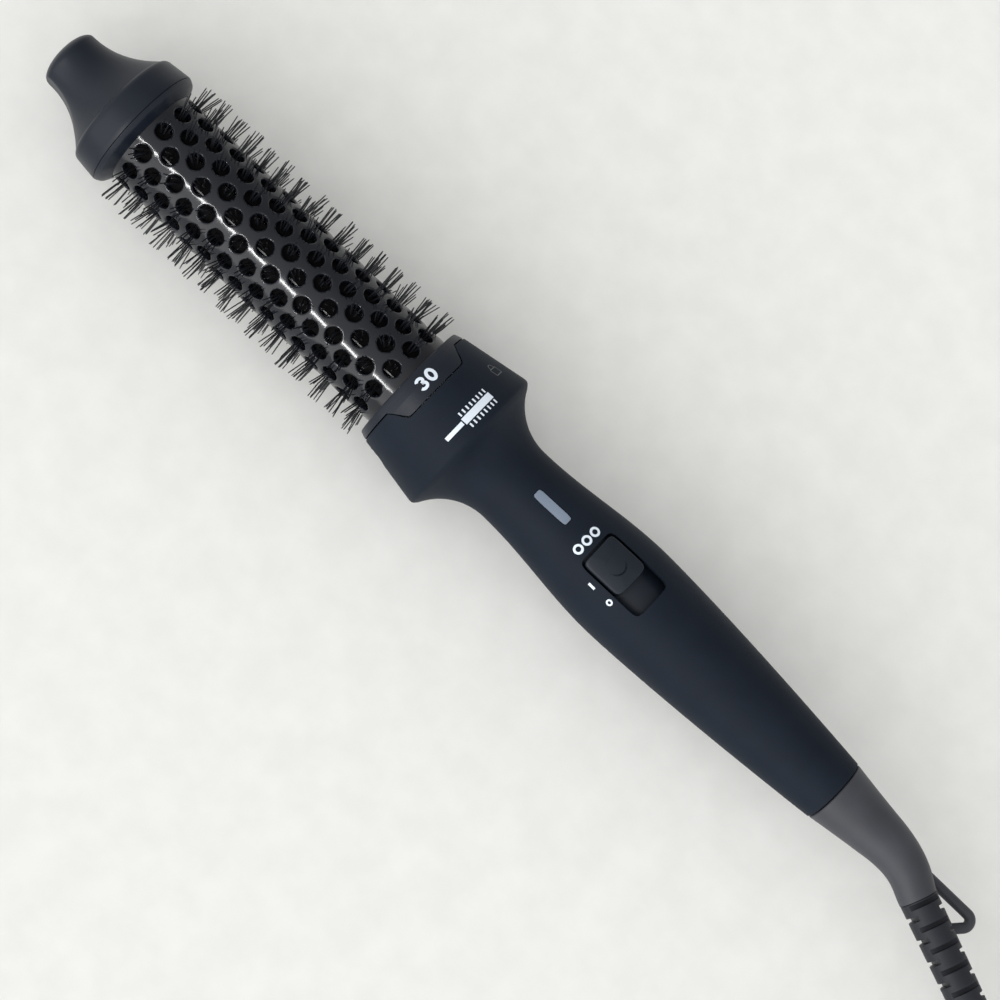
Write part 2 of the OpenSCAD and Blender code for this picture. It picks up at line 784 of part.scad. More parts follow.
// Top shell with the switch window, the indicator slot and the notch for the collar's tongue
lens_margin = 0.45;
module handle_top_shell() {
    color(soft_black) placed() difference() {
        union() {
            half_shell(true);
            for (d = screw_places)
                translate([-d, 0, seam_w]) cylinder(r = boss_r, h = inside_radius(d) - seam_w + 0.4);
        }
        linear_extrude(height = head_d) window_outline(0);
        linear_extrude(height = head_d) tongue_outline(run_gap);
        block(-lens_at, 0, 0, [lens_len + 2 * lens_margin, lens_w + 2 * lens_margin, head_d]);
        for (d = screw_places)
            translate([-d, 0, -1]) cylinder(d = screw_d + 2 * seat_gap, h = inside_radius(d) - 1);
    }
}

// Bottom shell with the screw bosses, the board posts and the release button's hole
screw_head_d = 4.6;
screw_head_drop = 4;
module handle_bottom_shell() {
    color(soft_black) placed() difference() {
        union() {
            half_shell(false);
            for (d = screw_places)
                translate([-d, 0, -inside_radius(d) - 0.4])
                    cylinder(r = boss_r + 0.6, h = inside_radius(d) + 0.4);
            for (x = board_screws_at)
                translate([x, 0, -inside_radius(-x) - 0.4])
                    cylinder(r = post_r, h = inside_radius(-x) + 0.4 + board_bottom);
        }
        translate([-button_at, 0, -button_drop])
            rotate([-90, 0, 0]) cylinder(d = button_d + 2 * run_gap, h = head_d);
        for (d = screw_places)
            translate([-d, 0, -handle_radius(d)]) {
                translate([0, 0, -1]) cylinder(d = screw_head_d + 0.4, h = screw_head_drop + 1);
                cylinder(d = screw_d + 0.4, h = handle_radius(d) + 1);
            }
        for (x = board_screws_at)
            translate([x, 0, board_bottom - 6]) cylinder(d = 1.9, h = 7);
    }
}

// Screws that hold the two shells together
module shell_screws() {
    head_t = 1.6;
    color(steel) placed()
        for (d = screw_places)
            translate([-d, 0, -handle_radius(d) + screw_head_drop]) {
                translate([0, 0, -head_t]) cylinder(d = screw_head_d, h = head_t);
                cylinder(d = screw_d, h = handle_radius(d) - screw_head_drop + inside_radius(d) - 3);
            }
}

// Socket in the head that takes the brush head's spigot
module head_socket() {
    rim_t = 2;
    rim_r = head_radius(0) - shell_wall - seat_gap;
    color(white_plastic) placed() difference() {
        union() {
            bar(socket_rear - socket_wall, socket_front, socket_r);
            bar(socket_front - rim_t, socket_front, rim_r);
        }
        bar(socket_rear, 1, socket_bore_r);
        for (side = [-1, 1], level = [-1, 1])
            translate([0, side * contact_y, level * stack_mid])
                bar(socket_rear - socket_wall - 1, socket_rear + 1, contact_d / 2 + 0.9);
        translate([-button_at, 0, -button_drop])
            rotate([-90, 0, 0]) cylinder(r = 1.5, h = head_d);
    }
}

// Brass sleeves that grip the contact pins
module contact_sockets() {
    sleeve_len = contact_len + 1.8;
    color(brass) placed()
        for (side = [-1, 1], level = [-1, 1])
            translate([socket_rear, side * contact_y, level * stack_mid]) difference() {
                bar(-sleeve_len, 0, contact_d / 2 + 0.85);
                bar(-sleeve_len + 0.8, 1, contact_d / 2 + shaft_gap);
            }
}

// Circuit board on the bottom shell's posts
module circuit_board() {
    color(board_green) placed() difference() {
        block((board_front + board_rear) / 2, 0, board_bottom, [board_front - board_rear, board_w, board_t]);
        for (x = board_screws_at)
            translate([x, 0, board_bottom - 1]) cylinder(d = 2.4, h = board_t + 2);
    }
}

// Screws that hold the board down
module board_screws() {
    color(steel) placed()
        for (x = board_screws_at)
            translate([x, 0, board_top]) {
                cylinder(d = 3.6, h = 1.3);
                translate([0, 0, -5.5]) cylinder(d = 1.8, h = 5.6);
            }
}

// Slide switch on the board, with a slot for its actuator
actuator_at = -window_at + 3;
actuator_len = 2.4;
actuator_w = 1.8;
switch_top = 5;
module switch_body() {
    slot_len = switch_travel + actuator_len + 2 * run_gap;
    body_len = slot_len + 5;
    body_mid = actuator_at - switch_travel / 2;
    color([0.13, 0.13, 0.14]) placed() difference() {
        block(body_mid, 0, board_top, [body_len, 8, switch_top - board_top]);
        block(body_mid, 0, switch_top - 2.5, [slot_len, actuator_w + 2 * run_gap, 3]);
    }
}

// Indicator lens, flush with the shell and held by a flange inside it
module indicator_lens() {
    lip_top = sqrt(pow(inside_radius(lens_at - lens_len / 2 - lens_lip), 2)
        - pow(lens_w / 2 + lens_lip, 2)) - seat_gap;
    color([0.57, 0.61, 0.67]) placed() {
        intersection() {
            block(-lens_at, 0, lip_top - 0.6, [lens_len, lens_w, head_d]);
            turned() polygon(concat(
                [[0, -neck_at]],
                [for (p = handle_outside) if (p[1] < -neck_at) p - [0.15, 0]],
                [[0, -handle_len]]
            ));
        }
        block(-lens_at, 0, lip_top - 1.6, [lens_len + 2 * lens_lip, lens_w + 2 * lens_lip, 1.2]);
    }
}

// Lamp under the lens
module indicator_led() {
    color(white_plastic) placed() block(-lens_at, 0, board_top, [3.2, 2.6, 1.8]);
}

// Ion generator under the board, between its posts
module ion_generator() {
    room = board_screws_at[0] - board_screws_at[1] - 2 * (post_r + ion_gap);
    case = [room, board_w - 4, 6.6];
    color([0.1, 0.1, 0.1]) placed()
        block((board_screws_at[0] + board_screws_at[1]) / 2, 0, board_bottom - case[2], case);
}

// Wires from the contact sleeves to the board, and from the board to the swivel
module handle_wires() {
    wire_r = 0.7;
    wire_y = board_w / 2 - 1.9;
    sleeves_end = socket_rear - contact_len - 1.8;
    swivel_front = cup_front + 0.2;
    color([0.75, 0.2, 0.16]) placed() {
        for (side = [-1, 1], level = [-1, 1]) {
            route = [
                [sleeves_end, side * contact_y, level * stack_mid],
                [sleeves_end - 3, side * (contact_y + 0.4), level * stack_mid],
                [(sleeves_end + board_front) / 2, side * 4.6, level * 3.4 - 0.8],
                [board_front + 3, side * wire_y, level > 0 ? board_top + wire_r : board_bottom - wire_r],
                [board_front - 1.5, side * wire_y, level > 0 ? board_top + wire_r : board_bottom - wire_r]
            ];
            swept(route, [for (p = route) wire_r], 6, [-1, 0, 0], [-1, 0, 0]);
        }
        for (side = [-1, 1])
            swept([
                [board_rear + 1.5, side * 4.4, board_top + wire_r],
                [board_rear - 4, side * 4.6, board_top + wire_r],
                [(board_rear + swivel_front) / 2 - 2, side * 4.4, 0],
                [swivel_front + 4, side * 2, 0],
                [swivel_front, side * 1.2, 0]
            ], [for (i = [0:4]) wire_r], 6, [-1, 0, 0], [-1, 0, 0]);
    }
}

// Cup in the rear of the handle that carries the swivel spindle
cup_wall = 2;
bushing_len = 6;
chamber_r = 6.9;
cup_rear = -handle_len + 0.6;
module swivel_cup() {
    cup_r = inside_radius(handle_len) - 0.15;
    rim_r = inside_radius(-cup_front) - 0.25;
    color(white_plastic) placed() difference() {
        union() {
            bar(cup_rear, cup_front, cup_r);
            bar(cup_front - cup_wall, cup_front, rim_r);
        }
        bar(cup_rear - 1, cup_rear + bushing_len + 1, spindle_d / 2 + shaft_gap);
        bar(cup_rear + bushing_len, cup_front - cup_wall, chamber_r);
        bar(cup_front - cup_wall - 1, cup_front + 1, 2.2);
    }
}

// Sprung contacts that ride on the spindle's slip rings
ring_places = [boot_front + 11.5, boot_front + 15];
ring_w = 2;
slip_ring_r = spindle_d / 2 + 0.6;
module swivel_contacts() {
    color(brass) placed()
        for (x = ring_places, side = [-1, 1])
            translate([x + ring_w / 2, 0, side > 0 ? slip_ring_r + shaft_gap : -chamber_r + 0.25])
                block(0, 0, 0, [ring_w - 0.6, 2.4, chamber_r - 0.25 - slip_ring_r - shaft_gap]);
}

// Spring behind the release button
button_stem_d = 2.4;
button_flange_r = button_d / 2 + 0.55;
button_flange_t = 0.9;
button_flange_top = sqrt(pow(head_radius(button_at) - shell_wall, 2)
    - pow(button_drop + button_flange_r, 2)) - run_gap;
spring_r = 2.5;
spring_len = button_flange_top - button_flange_t - button_travel - socket_r - 3 * seat_gap;
module release_spring() {
    color(steel) placed()
        translate([-button_at, 0, -button_drop]) rotate([-90, 0, 0]) difference() {
            translate([0, 0, socket_r + seat_gap]) cylinder(r = spring_r, h = spring_len);
            translate([0, 0, socket_r - 1]) cylinder(r = button_stem_d / 2 + run_gap, h = 4);
        }
}

// Power slider: a raised cap on a plate that closes the window under the shell
plate_half_angle = asin((window_w / 2 + 1) / plate_r);
plate_reach = 0.9;
cap_at = -window_at + window_len / 2 - 0.8 - cap_len / 2;
module power_slider() {
    cap_rise = 0.2;
    mark_w = 0.35;
    mark_depth = 0.3;
    plate_front = -window_at + window_len / 2 + switch_travel + plate_reach;
    plate_rear = -window_at - window_len / 2 - plate_reach;
    fork = 1;
    fork_low = switch_top + 0.8;
    color(soft_black) placed() difference() {
        union() {
            intersection() {
                turned(180 - plate_half_angle, 2 * plate_half_angle) polygon([
                    [plate_r - plate_t, plate_rear],
                    [plate_r, plate_rear],
                    [plate_r, plate_front],
                    [plate_r - plate_t, plate_front]
                ]);
                block((plate_front + plate_rear) / 2, 0, 0,
                    [plate_front - plate_rear, window_w + 1.8, head_d]);
            }
            intersection() {
                translate([cap_at, 0, plate_r - 1.6])
                    linear_extrude(height = head_d) polygon(soft_rectangle(cap_len, cap_w));
                turned() polygon(concat(
                    [[0, -neck_at]],
                    [for (p = handle_outside) if (p[1] < -neck_at - 1) p + [cap_rise, 0]],
                    [[0, -handle_len]]
                ));
            }
            block(actuator_at, 0, fork_low, [actuator_len + 2 * fork + 0.2, 4, plate_r - fork_low - 0.6]);
        }
        block(actuator_at, 0, fork_low - 1, [actuator_len + 0.1, 6, 3.6]);
        translate([cap_at - 0.7, 0, handle_radius(-cap_at) + cap_rise - mark_depth]) difference() {
            cylinder(d = ring_mark_d, h = 2);
            translate([0, 0, -1]) cylinder(d = ring_mark_d - 2 * mark_w, h = 4);
        }
    }
}

// Actuator of the slide switch, carried by the slider's fork
module switch_actuator() {
    color(white_plastic) placed()
        block(actuator_at, 0, switch_top - 2, [actuator_len, actuator_w, 4.6]);
}

// Release button for the brush head, sunk in the side of the handle's head
module release_button() {
    face_sunk = 0.8;
    face = sqrt(pow(head_radius(button_at), 2) - pow(button_drop, 2)) - face_sunk;
    stem_end = socket_bore_r + 0.1;
    color(soft_black) placed() translate([-button_at, 0, -button_drop]) rotate([-90, 0, 0]) {
        translate([0, 0, button_flange_top - 0.1])
            cylinder(d = button_d, h = face - button_flange_top + 0.1);
        translate([0, 0, button_flange_top - button_flange_t])
            cylinder(r = button_flange_r, h = button_flange_t);
        translate([0, 0, stem_end])
            cylinder(d = button_stem_d, h = button_flange_top - stem_end);
    }
}

// Tail: everything that turns with the cord, drawn from the front edge of its boot

module at_tail() {
    placed() translate([boot_front, 0, 0]) children();
}

// The boot's middle line bends from the axis to the strain relief
relief_start = [-37, 5.4, 0];
relief_direction = [-cos(boot_turn), sin(boot_turn), 0];
bend_points = [
    [-16.2, 0, 0],
    [-30.2, -0.3, 0],
    relief_start - 4.7 * relief_direction,
    relief_start
];
function bend_at(t) =
    pow(1 - t, 3) * bend_points[0] + 3 * t * pow(1 - t, 2) * bend_points[1]
    + 3 * t * t * (1 - t) * bend_points[2] + pow(t, 3) * bend_points[3];
bend_steps = 9;
boot_route = concat(
    [for (i = [0:4]) bend_points[0] * i / 5],
    [for (i = [0:bend_steps]) bend_at(i / bend_steps)]
);
function route_length(points, last) =
    last == 0 ? 0 : norm(points[last] - points[last - 1]) + route_length(points, last - 1);
boot_len = route_length(boot_route, len(boot_route) - 1);
function boot_radius(i) =
    (boot_end_d + (boot_d - boot_end_d) * pow(1 - route_length(boot_route, i) / boot_len, 1.3)) / 2;
boot_radii = [for (i = [0:len(boot_route) - 1]) boot_radius(i)];
spindle_seat_r = 6.5;
spindle_seat_len = 12;
module to_relief() {
    translate(relief_start) rotate([0, 0, 180 - boot_turn]) children();
}

// Closed ring of the hanging loop, with its rod's radius
module loop_ring(r) {
    sides = 12;
    rings = [for (stop = loop_route) each ring_at(stop[0], stop[1], r, sides)];
    walls = tube_walls(len(loop_route), sides, len(rings));
    translate([0, 0, -loop_drop]) polyhedron(rings, walls, convexity = 10);
}

// Moulded boot with the spindle's seat, the cord's bore and the lug of the hanging loop
module tail_boot() {
    lug = [5.5, 9.6, 6.2];
    lug_bottom = -loop_drop - loop_rod_d / 2 - 1;
    apex = corner_between(0)[0];
    color(tail_grey) at_tail() difference() {
        union() {
            swept(boot_route, boot_radii, 28, [-1, 0, 0], relief_direction);
            block(apex[0] + loop_corner_r, apex[1], lug_bottom, lug);
        }
        bar(-spindle_seat_len - seat_gap, 1, spindle_seat_r + seat_gap);
        to_relief() bar(-14, 1, cord_d / 2 + seat_gap);
        loop_ring(loop_rod_d / 2 + seat_gap);
    }
}

// Spindle that turns in the handle's cup, with a groove for its clip
clip_at = cup_rear - boot_front + bushing_len + 0.3;
clip_t = 0.8;
module swivel_spindle() {
    bore = 2.2;
    color(white_plastic) at_tail() difference() {
        union() {
            bar(0, spindle_len, spindle_d / 2);
            bar(-spindle_seat_len, 0.1, spindle_seat_r);
        }
        bar(-spindle_seat_len - 1, spindle_len + 1, bore);
        pipe(clip_at, clip_at + clip_t, spindle_d, spindle_d / 2 - 0.6);
    }
}

// Two brass rings on the spindle
module slip_rings() {
    color(brass) placed()
        for (x = ring_places) pipe(x, x + ring_w, slip_ring_r, spindle_d / 2 + seat_gap / 2);
}

// Open clip that keeps the spindle in the cup
module spindle_clip() {
    clip_r = spindle_d / 2 + 1.4;
    color(steel) at_tail() difference() {
        pipe(clip_at + 0.05, clip_at + clip_t - 0.05, clip_r, spindle_d / 2 - 0.55);
        block(clip_at, 0, -clip_r - 1, [4, spindle_d / 2, clip_r]);
    }
}

// Round rod bent into a triangle, held in the boot's lug
module hanging_loop() {
    color(tail_grey) at_tail() loop_ring(loop_rod_d / 2);
}

// Slotted strain relief, with slots above and below and notches at the sides in turn
module strain_relief() {
    first_slot = 1.3;
    web = cord_d / 2 + 0.25;
    slots = floor((relief_len - first_slot - 2) / slot_pitch * 2);
    color(tail_grey) at_tail() to_relief() difference() {
        rotate([0, 90, 0]) cylinder(d1 = relief_d, d2 = relief_end_d, h = relief_len);
        bar(-1, relief_len + 1, cord_d / 2 + seat_gap);
        for (i = [0:slots], side = [0, 180])
            rotate([i % 2 * 90 + side, 0, 0])
                block(first_slot + i * slot_pitch / 2, 0, web, [slot_w, relief_d + 2, relief_d]);
    }
}

// Core of the cord inside the strain relief
module cord_inner() {
    color(tail_grey) at_tail() to_relief() bar(-13, relief_len, cord_d / 2);
}

// Cord: its points are measured from the front edge of the boot, and their height from the floor
module on_floor() {
    translate([place_x + boot_front, 0, 0]) children();
}
relief_end = relief_start + relief_len * relief_direction + [0, 0, axis_h];
hank_entry = [-135, 36.4, tie_t + 0.1 + cord_d / 2];
cord_points = [
    relief_end,
    relief_end + cord_d * relief_direction,
    [-96, 29, 17.5],
    [-108, 33.5, 9.5],
    [-120, 36, 4.8],
    hank_entry + [cord_d, 0, 0],
    hank_entry
];
module cord() {
    color(tail_grey) on_floor()
        swept(cord_points, [for (p = cord_points) cord_d / 2], 10, relief_direction, [-1, 0, 0]);
}

// Hank: four loops in four layers that spiral in and out, drawn in at the waist by the tie.
// A loop has two runs and two half-turns, and each climb to the next layer is along its first run.
run_parts = 5;
turn_parts = 7;
loop_parts = 2 * (run_parts + turn_parts);
hank_outer_r = hank_r + hank_step;
hank_middle = hank_entry - [hank_run / 2, hank_outer_r, 0];
function layer_radius(k) = k % 2 == 0 ? hank_outer_r : hank_r;
function drawn_in(x) = hank_pull * pow(cos(180 * x / hank_run), 2);
function hank_point(n) =
    let (
        k = floor(n / loop_parts),
        j = n % loop_parts,
        climbed = k == 0 ? 0 : k == hank_layers ? k - 1 : k - 1 + min(j / run_parts, 1),
        share = max(0, j - run_parts) / (loop_parts - run_parts),
        r = layer_radius(k) + (layer_radius(k + 1) - layer_radius(k)) * share,
        half = run_parts + turn_parts,
        x = hank_run / 2 - hank_run * (j % half) / run_parts,
        a = 180 * (j % half - run_parts) / turn_parts,
        back = j < half ? 1 : -1,
        flat = j % half <= run_parts
            ? [back * x, back * (r - drawn_in(x)), 0]
            : [-back * (hank_run / 2 + r * sin(a)), back * r * cos(a), 0]
    )
    hank_middle + flat + [0, 0, hank_step * climbed];
hank_points = [for (n = [0:hank_layers * loop_parts]) hank_point(n)];
module cord_hank() {
    color(tail_grey) on_floor()
        swept(hank_points, [for (p = hank_points) cord_d / 2], 6, [-1, 0, 0], [-1, 0, 0]);
}

// Band round the waist of the hank
hank_top = hank_points[len(hank_points) - 1][2] + cord_d / 2;
module tie_outline(spare) {
    corner = cord_d / 2;
    half_w = hank_outer_r - drawn_in(hank_run / run_parts / 2) + 0.3;
    low = hank_entry[2] - 0.1;
    high = hank_top - corner + 0.1;
    hull()
        for (side = [-1, 1], z = [low, high])
            translate([side * half_w, z]) circle(r = corner + spare, $fn = 24);
}
module hank_tie() {
    color(soft_black) on_floor() translate([hank_middle[0] - tie_w / 2, hank_middle[1], 0])
        rotate([90, 0, 90]) linear_extrude(height = tie_w) difference() {
            tie_outline(tie_t);
            tie_outline(0);
        }
}

// Plug, lying on the hank, with its pins pointing away from the brush
plug_relief_len = 18;
plug_entry = [-192, hank_middle[1], hank_top + 0.1 + plug_t / 2];
end_points = [
    hank_points[len(hank_points) - 1],
    hank_points[len(hank_points) - 1] - [cord_d + 1, 0, 0],
    [-149, 35.4, 25.8],
    [-156.5, 32, 28.5],
    [-164, 24, 32],
    [-171.5, 15.9, 34],
    [-179, 12.5, 34.6],
    plug_entry + [cord_d, 0, 0],
    plug_entry
];
module cord_end() {
    color(tail_grey) on_floor()
        swept(end_points, [for (p = end_points) cord_d / 2], 10, [-1, 0, 0], [-1, 0, 0]);
}

// Tapered sleeve where the cord enters the plug
module plug_relief() {
    color(soft_black) on_floor() translate(plug_entry - [plug_relief_len, 0, 0])
        rotate([0, 90, 0]) cylinder(d1 = 10, d2 = 7.5, h = plug_relief_len);
}

// Flat two-pin plug body
plug_back = plug_entry[0] - plug_relief_len;
plug_face = plug_back - plug_len;
pin_embed = 8;
pin_sleeve_r = plug_pin_d / 2 - 0.25;
pin_sleeve_len = plug_pin_len / 2 + 0.5;
module plug_body() {
    straight = 18;
    side_y = (plug_w - plug_t) / 2;
    color(soft_black) on_floor() translate([0, plug_entry[1], plug_entry[2]]) difference() {
        hull() {
            for (side = [-1, 1])
                translate([0, side * side_y, 0]) bar(plug_face, plug_face + straight, plug_t / 2);
            bar(plug_back - 1, plug_back, 5.2);
        }
        for (side = [-1, 1])
            translate([0, side * plug_pin_gap / 2, 0])
                bar(plug_face - 1, plug_face + pin_embed, pin_sleeve_r + seat_gap / 2);
    }
}

// Two round plug pins, each with an insulated sleeve behind its bare end
module plug_pins() {
    tip = 0.8;
    color(steel) on_floor() translate([0, plug_entry[1], plug_entry[2]])
        for (side = [-1, 1])
            translate([plug_face, side * plug_pin_gap / 2, 0]) {
                bar(-pin_sleeve_len, pin_embed, pin_sleeve_r);
                bar(tip - plug_pin_len, -pin_sleeve_len, plug_pin_d / 2);
                translate([-plug_pin_len, 0, 0]) rotate([0, 90, 0])
                    cylinder(r1 = plug_pin_d / 2 - tip, r2 = plug_pin_d / 2, h = tip);
            }
}

cool_tip();
tip_ring();
barrel();
barrel_collar();
front_hub();
rear_hub();
heater_core();
ptc_heaters();
electrode_plates();
heater_insulation();
tie_rod();
thermal_fuse();
thermostat();
lead_wires();
contact_plug();
contact_pins();
bristle_strip_01();
bristle_strip_02();
bristle_strip_03();
bristle_strip_04();
bristle_strip_05();
bristle_strip_06();
bristle_strip_07();
bristle_strip_08();
bristle_strip_09();
bristle_strip_10();
bristle_strip_11();
bristle_strip_12();
handle_top_shell();
handle_bottom_shell();
shell_screws();
head_socket();
contact_sockets();
circuit_board();
board_screws();
switch_body();
indicator_lens();
indicator_led();
ion_generator();
handle_wires();
swivel_cup();
swivel_contacts();
release_spring();
power_slider();
switch_actuator();
release_button();
tail_boot();
swivel_spindle();
slip_rings();
spindle_clip();
hanging_loop();
strain_relief();
cord_inner();
cord();
cord_hank();
cord_end();
hank_tie();
plug_relief();
plug_body();
plug_pins();
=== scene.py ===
import math
import random

import bmesh
import bpy
from mathutils import Matrix, Vector


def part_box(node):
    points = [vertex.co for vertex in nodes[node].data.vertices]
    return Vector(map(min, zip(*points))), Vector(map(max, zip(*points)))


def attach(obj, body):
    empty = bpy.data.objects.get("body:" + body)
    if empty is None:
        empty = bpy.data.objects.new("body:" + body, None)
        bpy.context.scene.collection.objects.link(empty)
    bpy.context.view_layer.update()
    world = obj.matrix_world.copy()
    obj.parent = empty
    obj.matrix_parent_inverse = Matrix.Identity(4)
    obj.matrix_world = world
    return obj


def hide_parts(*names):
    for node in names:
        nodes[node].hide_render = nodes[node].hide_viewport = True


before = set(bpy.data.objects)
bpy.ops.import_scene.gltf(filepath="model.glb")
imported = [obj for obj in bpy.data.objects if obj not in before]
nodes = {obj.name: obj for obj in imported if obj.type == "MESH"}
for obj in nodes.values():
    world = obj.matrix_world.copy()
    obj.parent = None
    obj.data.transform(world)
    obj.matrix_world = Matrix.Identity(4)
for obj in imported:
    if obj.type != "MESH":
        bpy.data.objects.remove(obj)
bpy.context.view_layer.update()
MM = 0.001

# The camera stands high over the brush and looks almost straight down. It leans 12.5 degrees
# to the side where the cord leaves, so that the switch faces a little away from it.
seam_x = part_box("handle_top_shell")[1].x + 0.3 * MM
axis_z = sum(corner.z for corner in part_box("barrel")) / 2
camera_lean = math.radians(12.5)
camera_height = 0.8
pixel, picture_width = 0.275 * MM, 1000
to_tail = Vector((-1, 0, 0))
to_lock = Vector((0, -math.cos(camera_lean), math.sin(camera_lean)))
to_camera = Vector((0, math.sin(camera_lean), math.cos(camera_lean)))
slope_right, slope_down = 0.7222, 0.6917
picture_right = slope_right * to_tail + slope_down * to_lock
picture_up = slope_right * to_lock - slope_down * to_tail
middle_along, middle_across = -38.2 * MM, -5.7 * MM
looks_at = Vector((seam_x + middle_along, 0, axis_z)) + middle_across * to_lock
camera = bpy.data.objects.new("camera", bpy.data.cameras.new("camera"))
turned_to = Matrix((picture_right, picture_up, to_camera)).transposed().to_4x4()
camera.matrix_world = Matrix.Translation(looks_at + camera_height * to_camera) @ turned_to
camera.data.sensor_width = 36
camera.data.lens = camera.data.sensor_width * camera_height / (picture_width * pixel)
bpy.context.scene.collection.objects.link(camera)
bpy.context.scene.camera = camera
bpy.context.scene.view_settings.view_transform = "Standard"

# Two-core mains cord of 6 mm with a satin rubber jacket. It leaves the tail through its strain
# relief, sags to the table and is folded in a hank of four loops, with its end up to the plug.
cord_d = 6 * MM
tail_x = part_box("tail_boot")[1].x


def on_floor(x, y, z):
    """A point of the cord's route: along from the boot's front edge, aside, and up from the floor, in mm."""
    return Vector((tail_x + x * MM, y * MM, z * MM))


relief_turn = math.radians(21.8)
relief_len = 45
relief_way = Vector((-math.cos(relief_turn), math.sin(relief_turn), 0))
boot_reach, boot_aside = 37, 5.4
relief_start = Vector((tail_x - boot_reach * MM, boot_aside * MM, axis_z))
relief_end = relief_start + relief_len * MM * relief_way
hank_run, hank_inner_r, hank_step, hank_layers, hank_pull = 120, 18, 6.9, 4, 9
hank_outer_r = hank_inner_r + hank_step
hank_entry = (-135, 36.4, 4)
hank_middle = (hank_entry[0] - hank_run / 2, hank_entry[1] - hank_outer_r)
run_parts, turn_parts = 5, 7
half_loop = run_parts + turn_parts


def hank_point(n):
    """Point n of the hank: two runs and two half-turns for each loop, climbing along its first run."""
    layer, part = divmod(n, 2 * half_loop)
    outer, inner = (hank_outer_r, hank_inner_r) if layer % 2 == 0 else (hank_inner_r, hank_outer_r)
    if layer == hank_layers:
        climbed = layer - 1
    else:
        climbed = 0 if layer == 0 else layer - 1 + min(part / run_parts, 1)
    share = max(0, part - run_parts) / (2 * half_loop - run_parts)
    r = outer + (inner - outer) * share
    side = 1 if part < half_loop else -1
    step = part % half_loop
    if step <= run_parts:
        x = hank_run / 2 - hank_run * step / run_parts
        waist = hank_pull * math.cos(math.pi * x / hank_run) ** 2
        x, y = side * x, side * (r - waist)
    else:
        a = math.pi * (step - run_parts) / turn_parts
        x, y = -side * (hank_run / 2 + r * math.sin(a)), side * r * math.cos(a)
    return on_floor(hank_middle[0] + x, hank_middle[1] + y, hank_entry[2] + hank_step * climbed)


hank = [hank_point(n) for n in range(2 * half_loop * hank_layers + 1)]
plug_entry = Vector((tail_x - 192 * MM, hank_middle[1] * MM, 34.65 * MM))
route = [relief_start - 13 * MM * relief_way, relief_start, relief_start + 22 * MM * relief_way]
route += [relief_end, relief_end + cord_d * relief_way]
route += [on_floor(-96, 29, 17.5), on_floor(-108, 33.5, 9.5), on_floor(-120, 36, 4.8)]
route += [on_floor(-129, 36.4, 4)] + hank
route += [hank[-1] - Vector((cord_d + 1 * MM, 0, 0))]
route += [on_floor(-149, 35.4, 25.8), on_floor(-156.5, 32, 28.5), on_floor(-164, 24, 32)]
route += [on_floor(-171.5, 15.9, 34), on_floor(-179, 12.5, 34.6)]
route += [plug_entry + Vector((cord_d, 0, 0)), plug_entry, plug_entry - Vector((10 * MM, 0, 0))]

cord_line = bpy.data.curves.new("mains_cord", "CURVE")
cord_line.dimensions = "3D"
cord_line.bevel_depth = cord_d / 2
cord_line.bevel_resolution = 5
cord_line.resolution_u = 8
cord_line.use_fill_caps = True
spline = cord_line.splines.new("BEZIER")
spline.bezier_points.add(len(route) - 1)
for point, place in zip(spline.bezier_points, route):
    point.co = place
    point.handle_left_type = point.handle_right_type = "AUTO"
mains_cord = bpy.data.objects.new("mains_cord", cord_line)
bpy.context.scene.collection.objects.link(mains_cord)
cloud_scale, scuff, grain_depth = 90, 0.12, 0.1 * MM


def finish(name, dark, light, grain, rough, bump, metal=0.0, specular=0.5):
    """A moulded, painted or metal finish: two close tones, a fine grain and slight scuffs in its gloss."""
    m = bpy.data.materials.new(name)
    m.use_nodes = True
    tree = m.node_tree
    shader = tree.nodes["Principled BSDF"]
    shader.inputs["Metallic"].default_value = metal
    shader.inputs["Specular IOR Level"].default_value = specular
    place = tree.nodes.new("ShaderNodeTexCoord")
    cloud = tree.nodes.new("ShaderNodeTexNoise")
    cloud.inputs["Scale"].default_value = cloud_scale
    cloud.inputs["Detail"].default_value = 4
    tones = tree.nodes.new("ShaderNodeValToRGB")
    tones.color_ramp.elements[0].position = 0.35
    tones.color_ramp.elements[1].position = 0.7
    tones.color_ramp.elements[0].color = (*dark, 1)
    tones.color_ramp.elements[1].color = (*light, 1)
    fine = tree.nodes.new("ShaderNodeTexNoise")
    fine.inputs["Scale"].default_value = grain
    fine.inputs["Detail"].default_value = 3
    gloss = tree.nodes.new("ShaderNodeMapRange")
    gloss.inputs["To Min"].default_value = rough * (1 - scuff)
    gloss.inputs["To Max"].default_value = min(1, rough * (1 + scuff))
    relief = tree.nodes.new("ShaderNodeBump")
    relief.inputs["Strength"].default_value = bump
    relief.inputs["Distance"].default_value = grain_depth
    tree.links.new(place.outputs["Object"], cloud.inputs["Vector"])
    tree.links.new(place.outputs["Object"], fine.inputs["Vector"])
    tree.links.new(cloud.outputs["Fac"], tones.inputs["Fac"])
    tree.links.new(tones.outputs["Color"], shader.inputs["Base Color"])
    tree.links.new(cloud.outputs["Fac"], gloss.inputs["Value"])
    tree.links.new(gloss.outputs["Result"], shader.inputs["Roughness"])
    tree.links.new(fine.outputs["Fac"], relief.inputs["Height"])
    tree.links.new(relief.outputs["Normal"], shader.inputs["Normal"])
    return m


cord_rubber = finish("cord_rubber", (0.035, 0.036, 0.04), (0.05, 0.051, 0.055), 2500, 0.5, 0.25)
cord_line.materials.append(cord_rubber)
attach(mains_cord, "tail")
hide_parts("cord_inner", "cord", "cord_hank", "cord_end")

# Strain relief: a tapered sleeve of soft PVC, moulded round the cord where it leaves the boot. It has
# slots above and below and notches at its sides in turn, so that it bends with the cord.


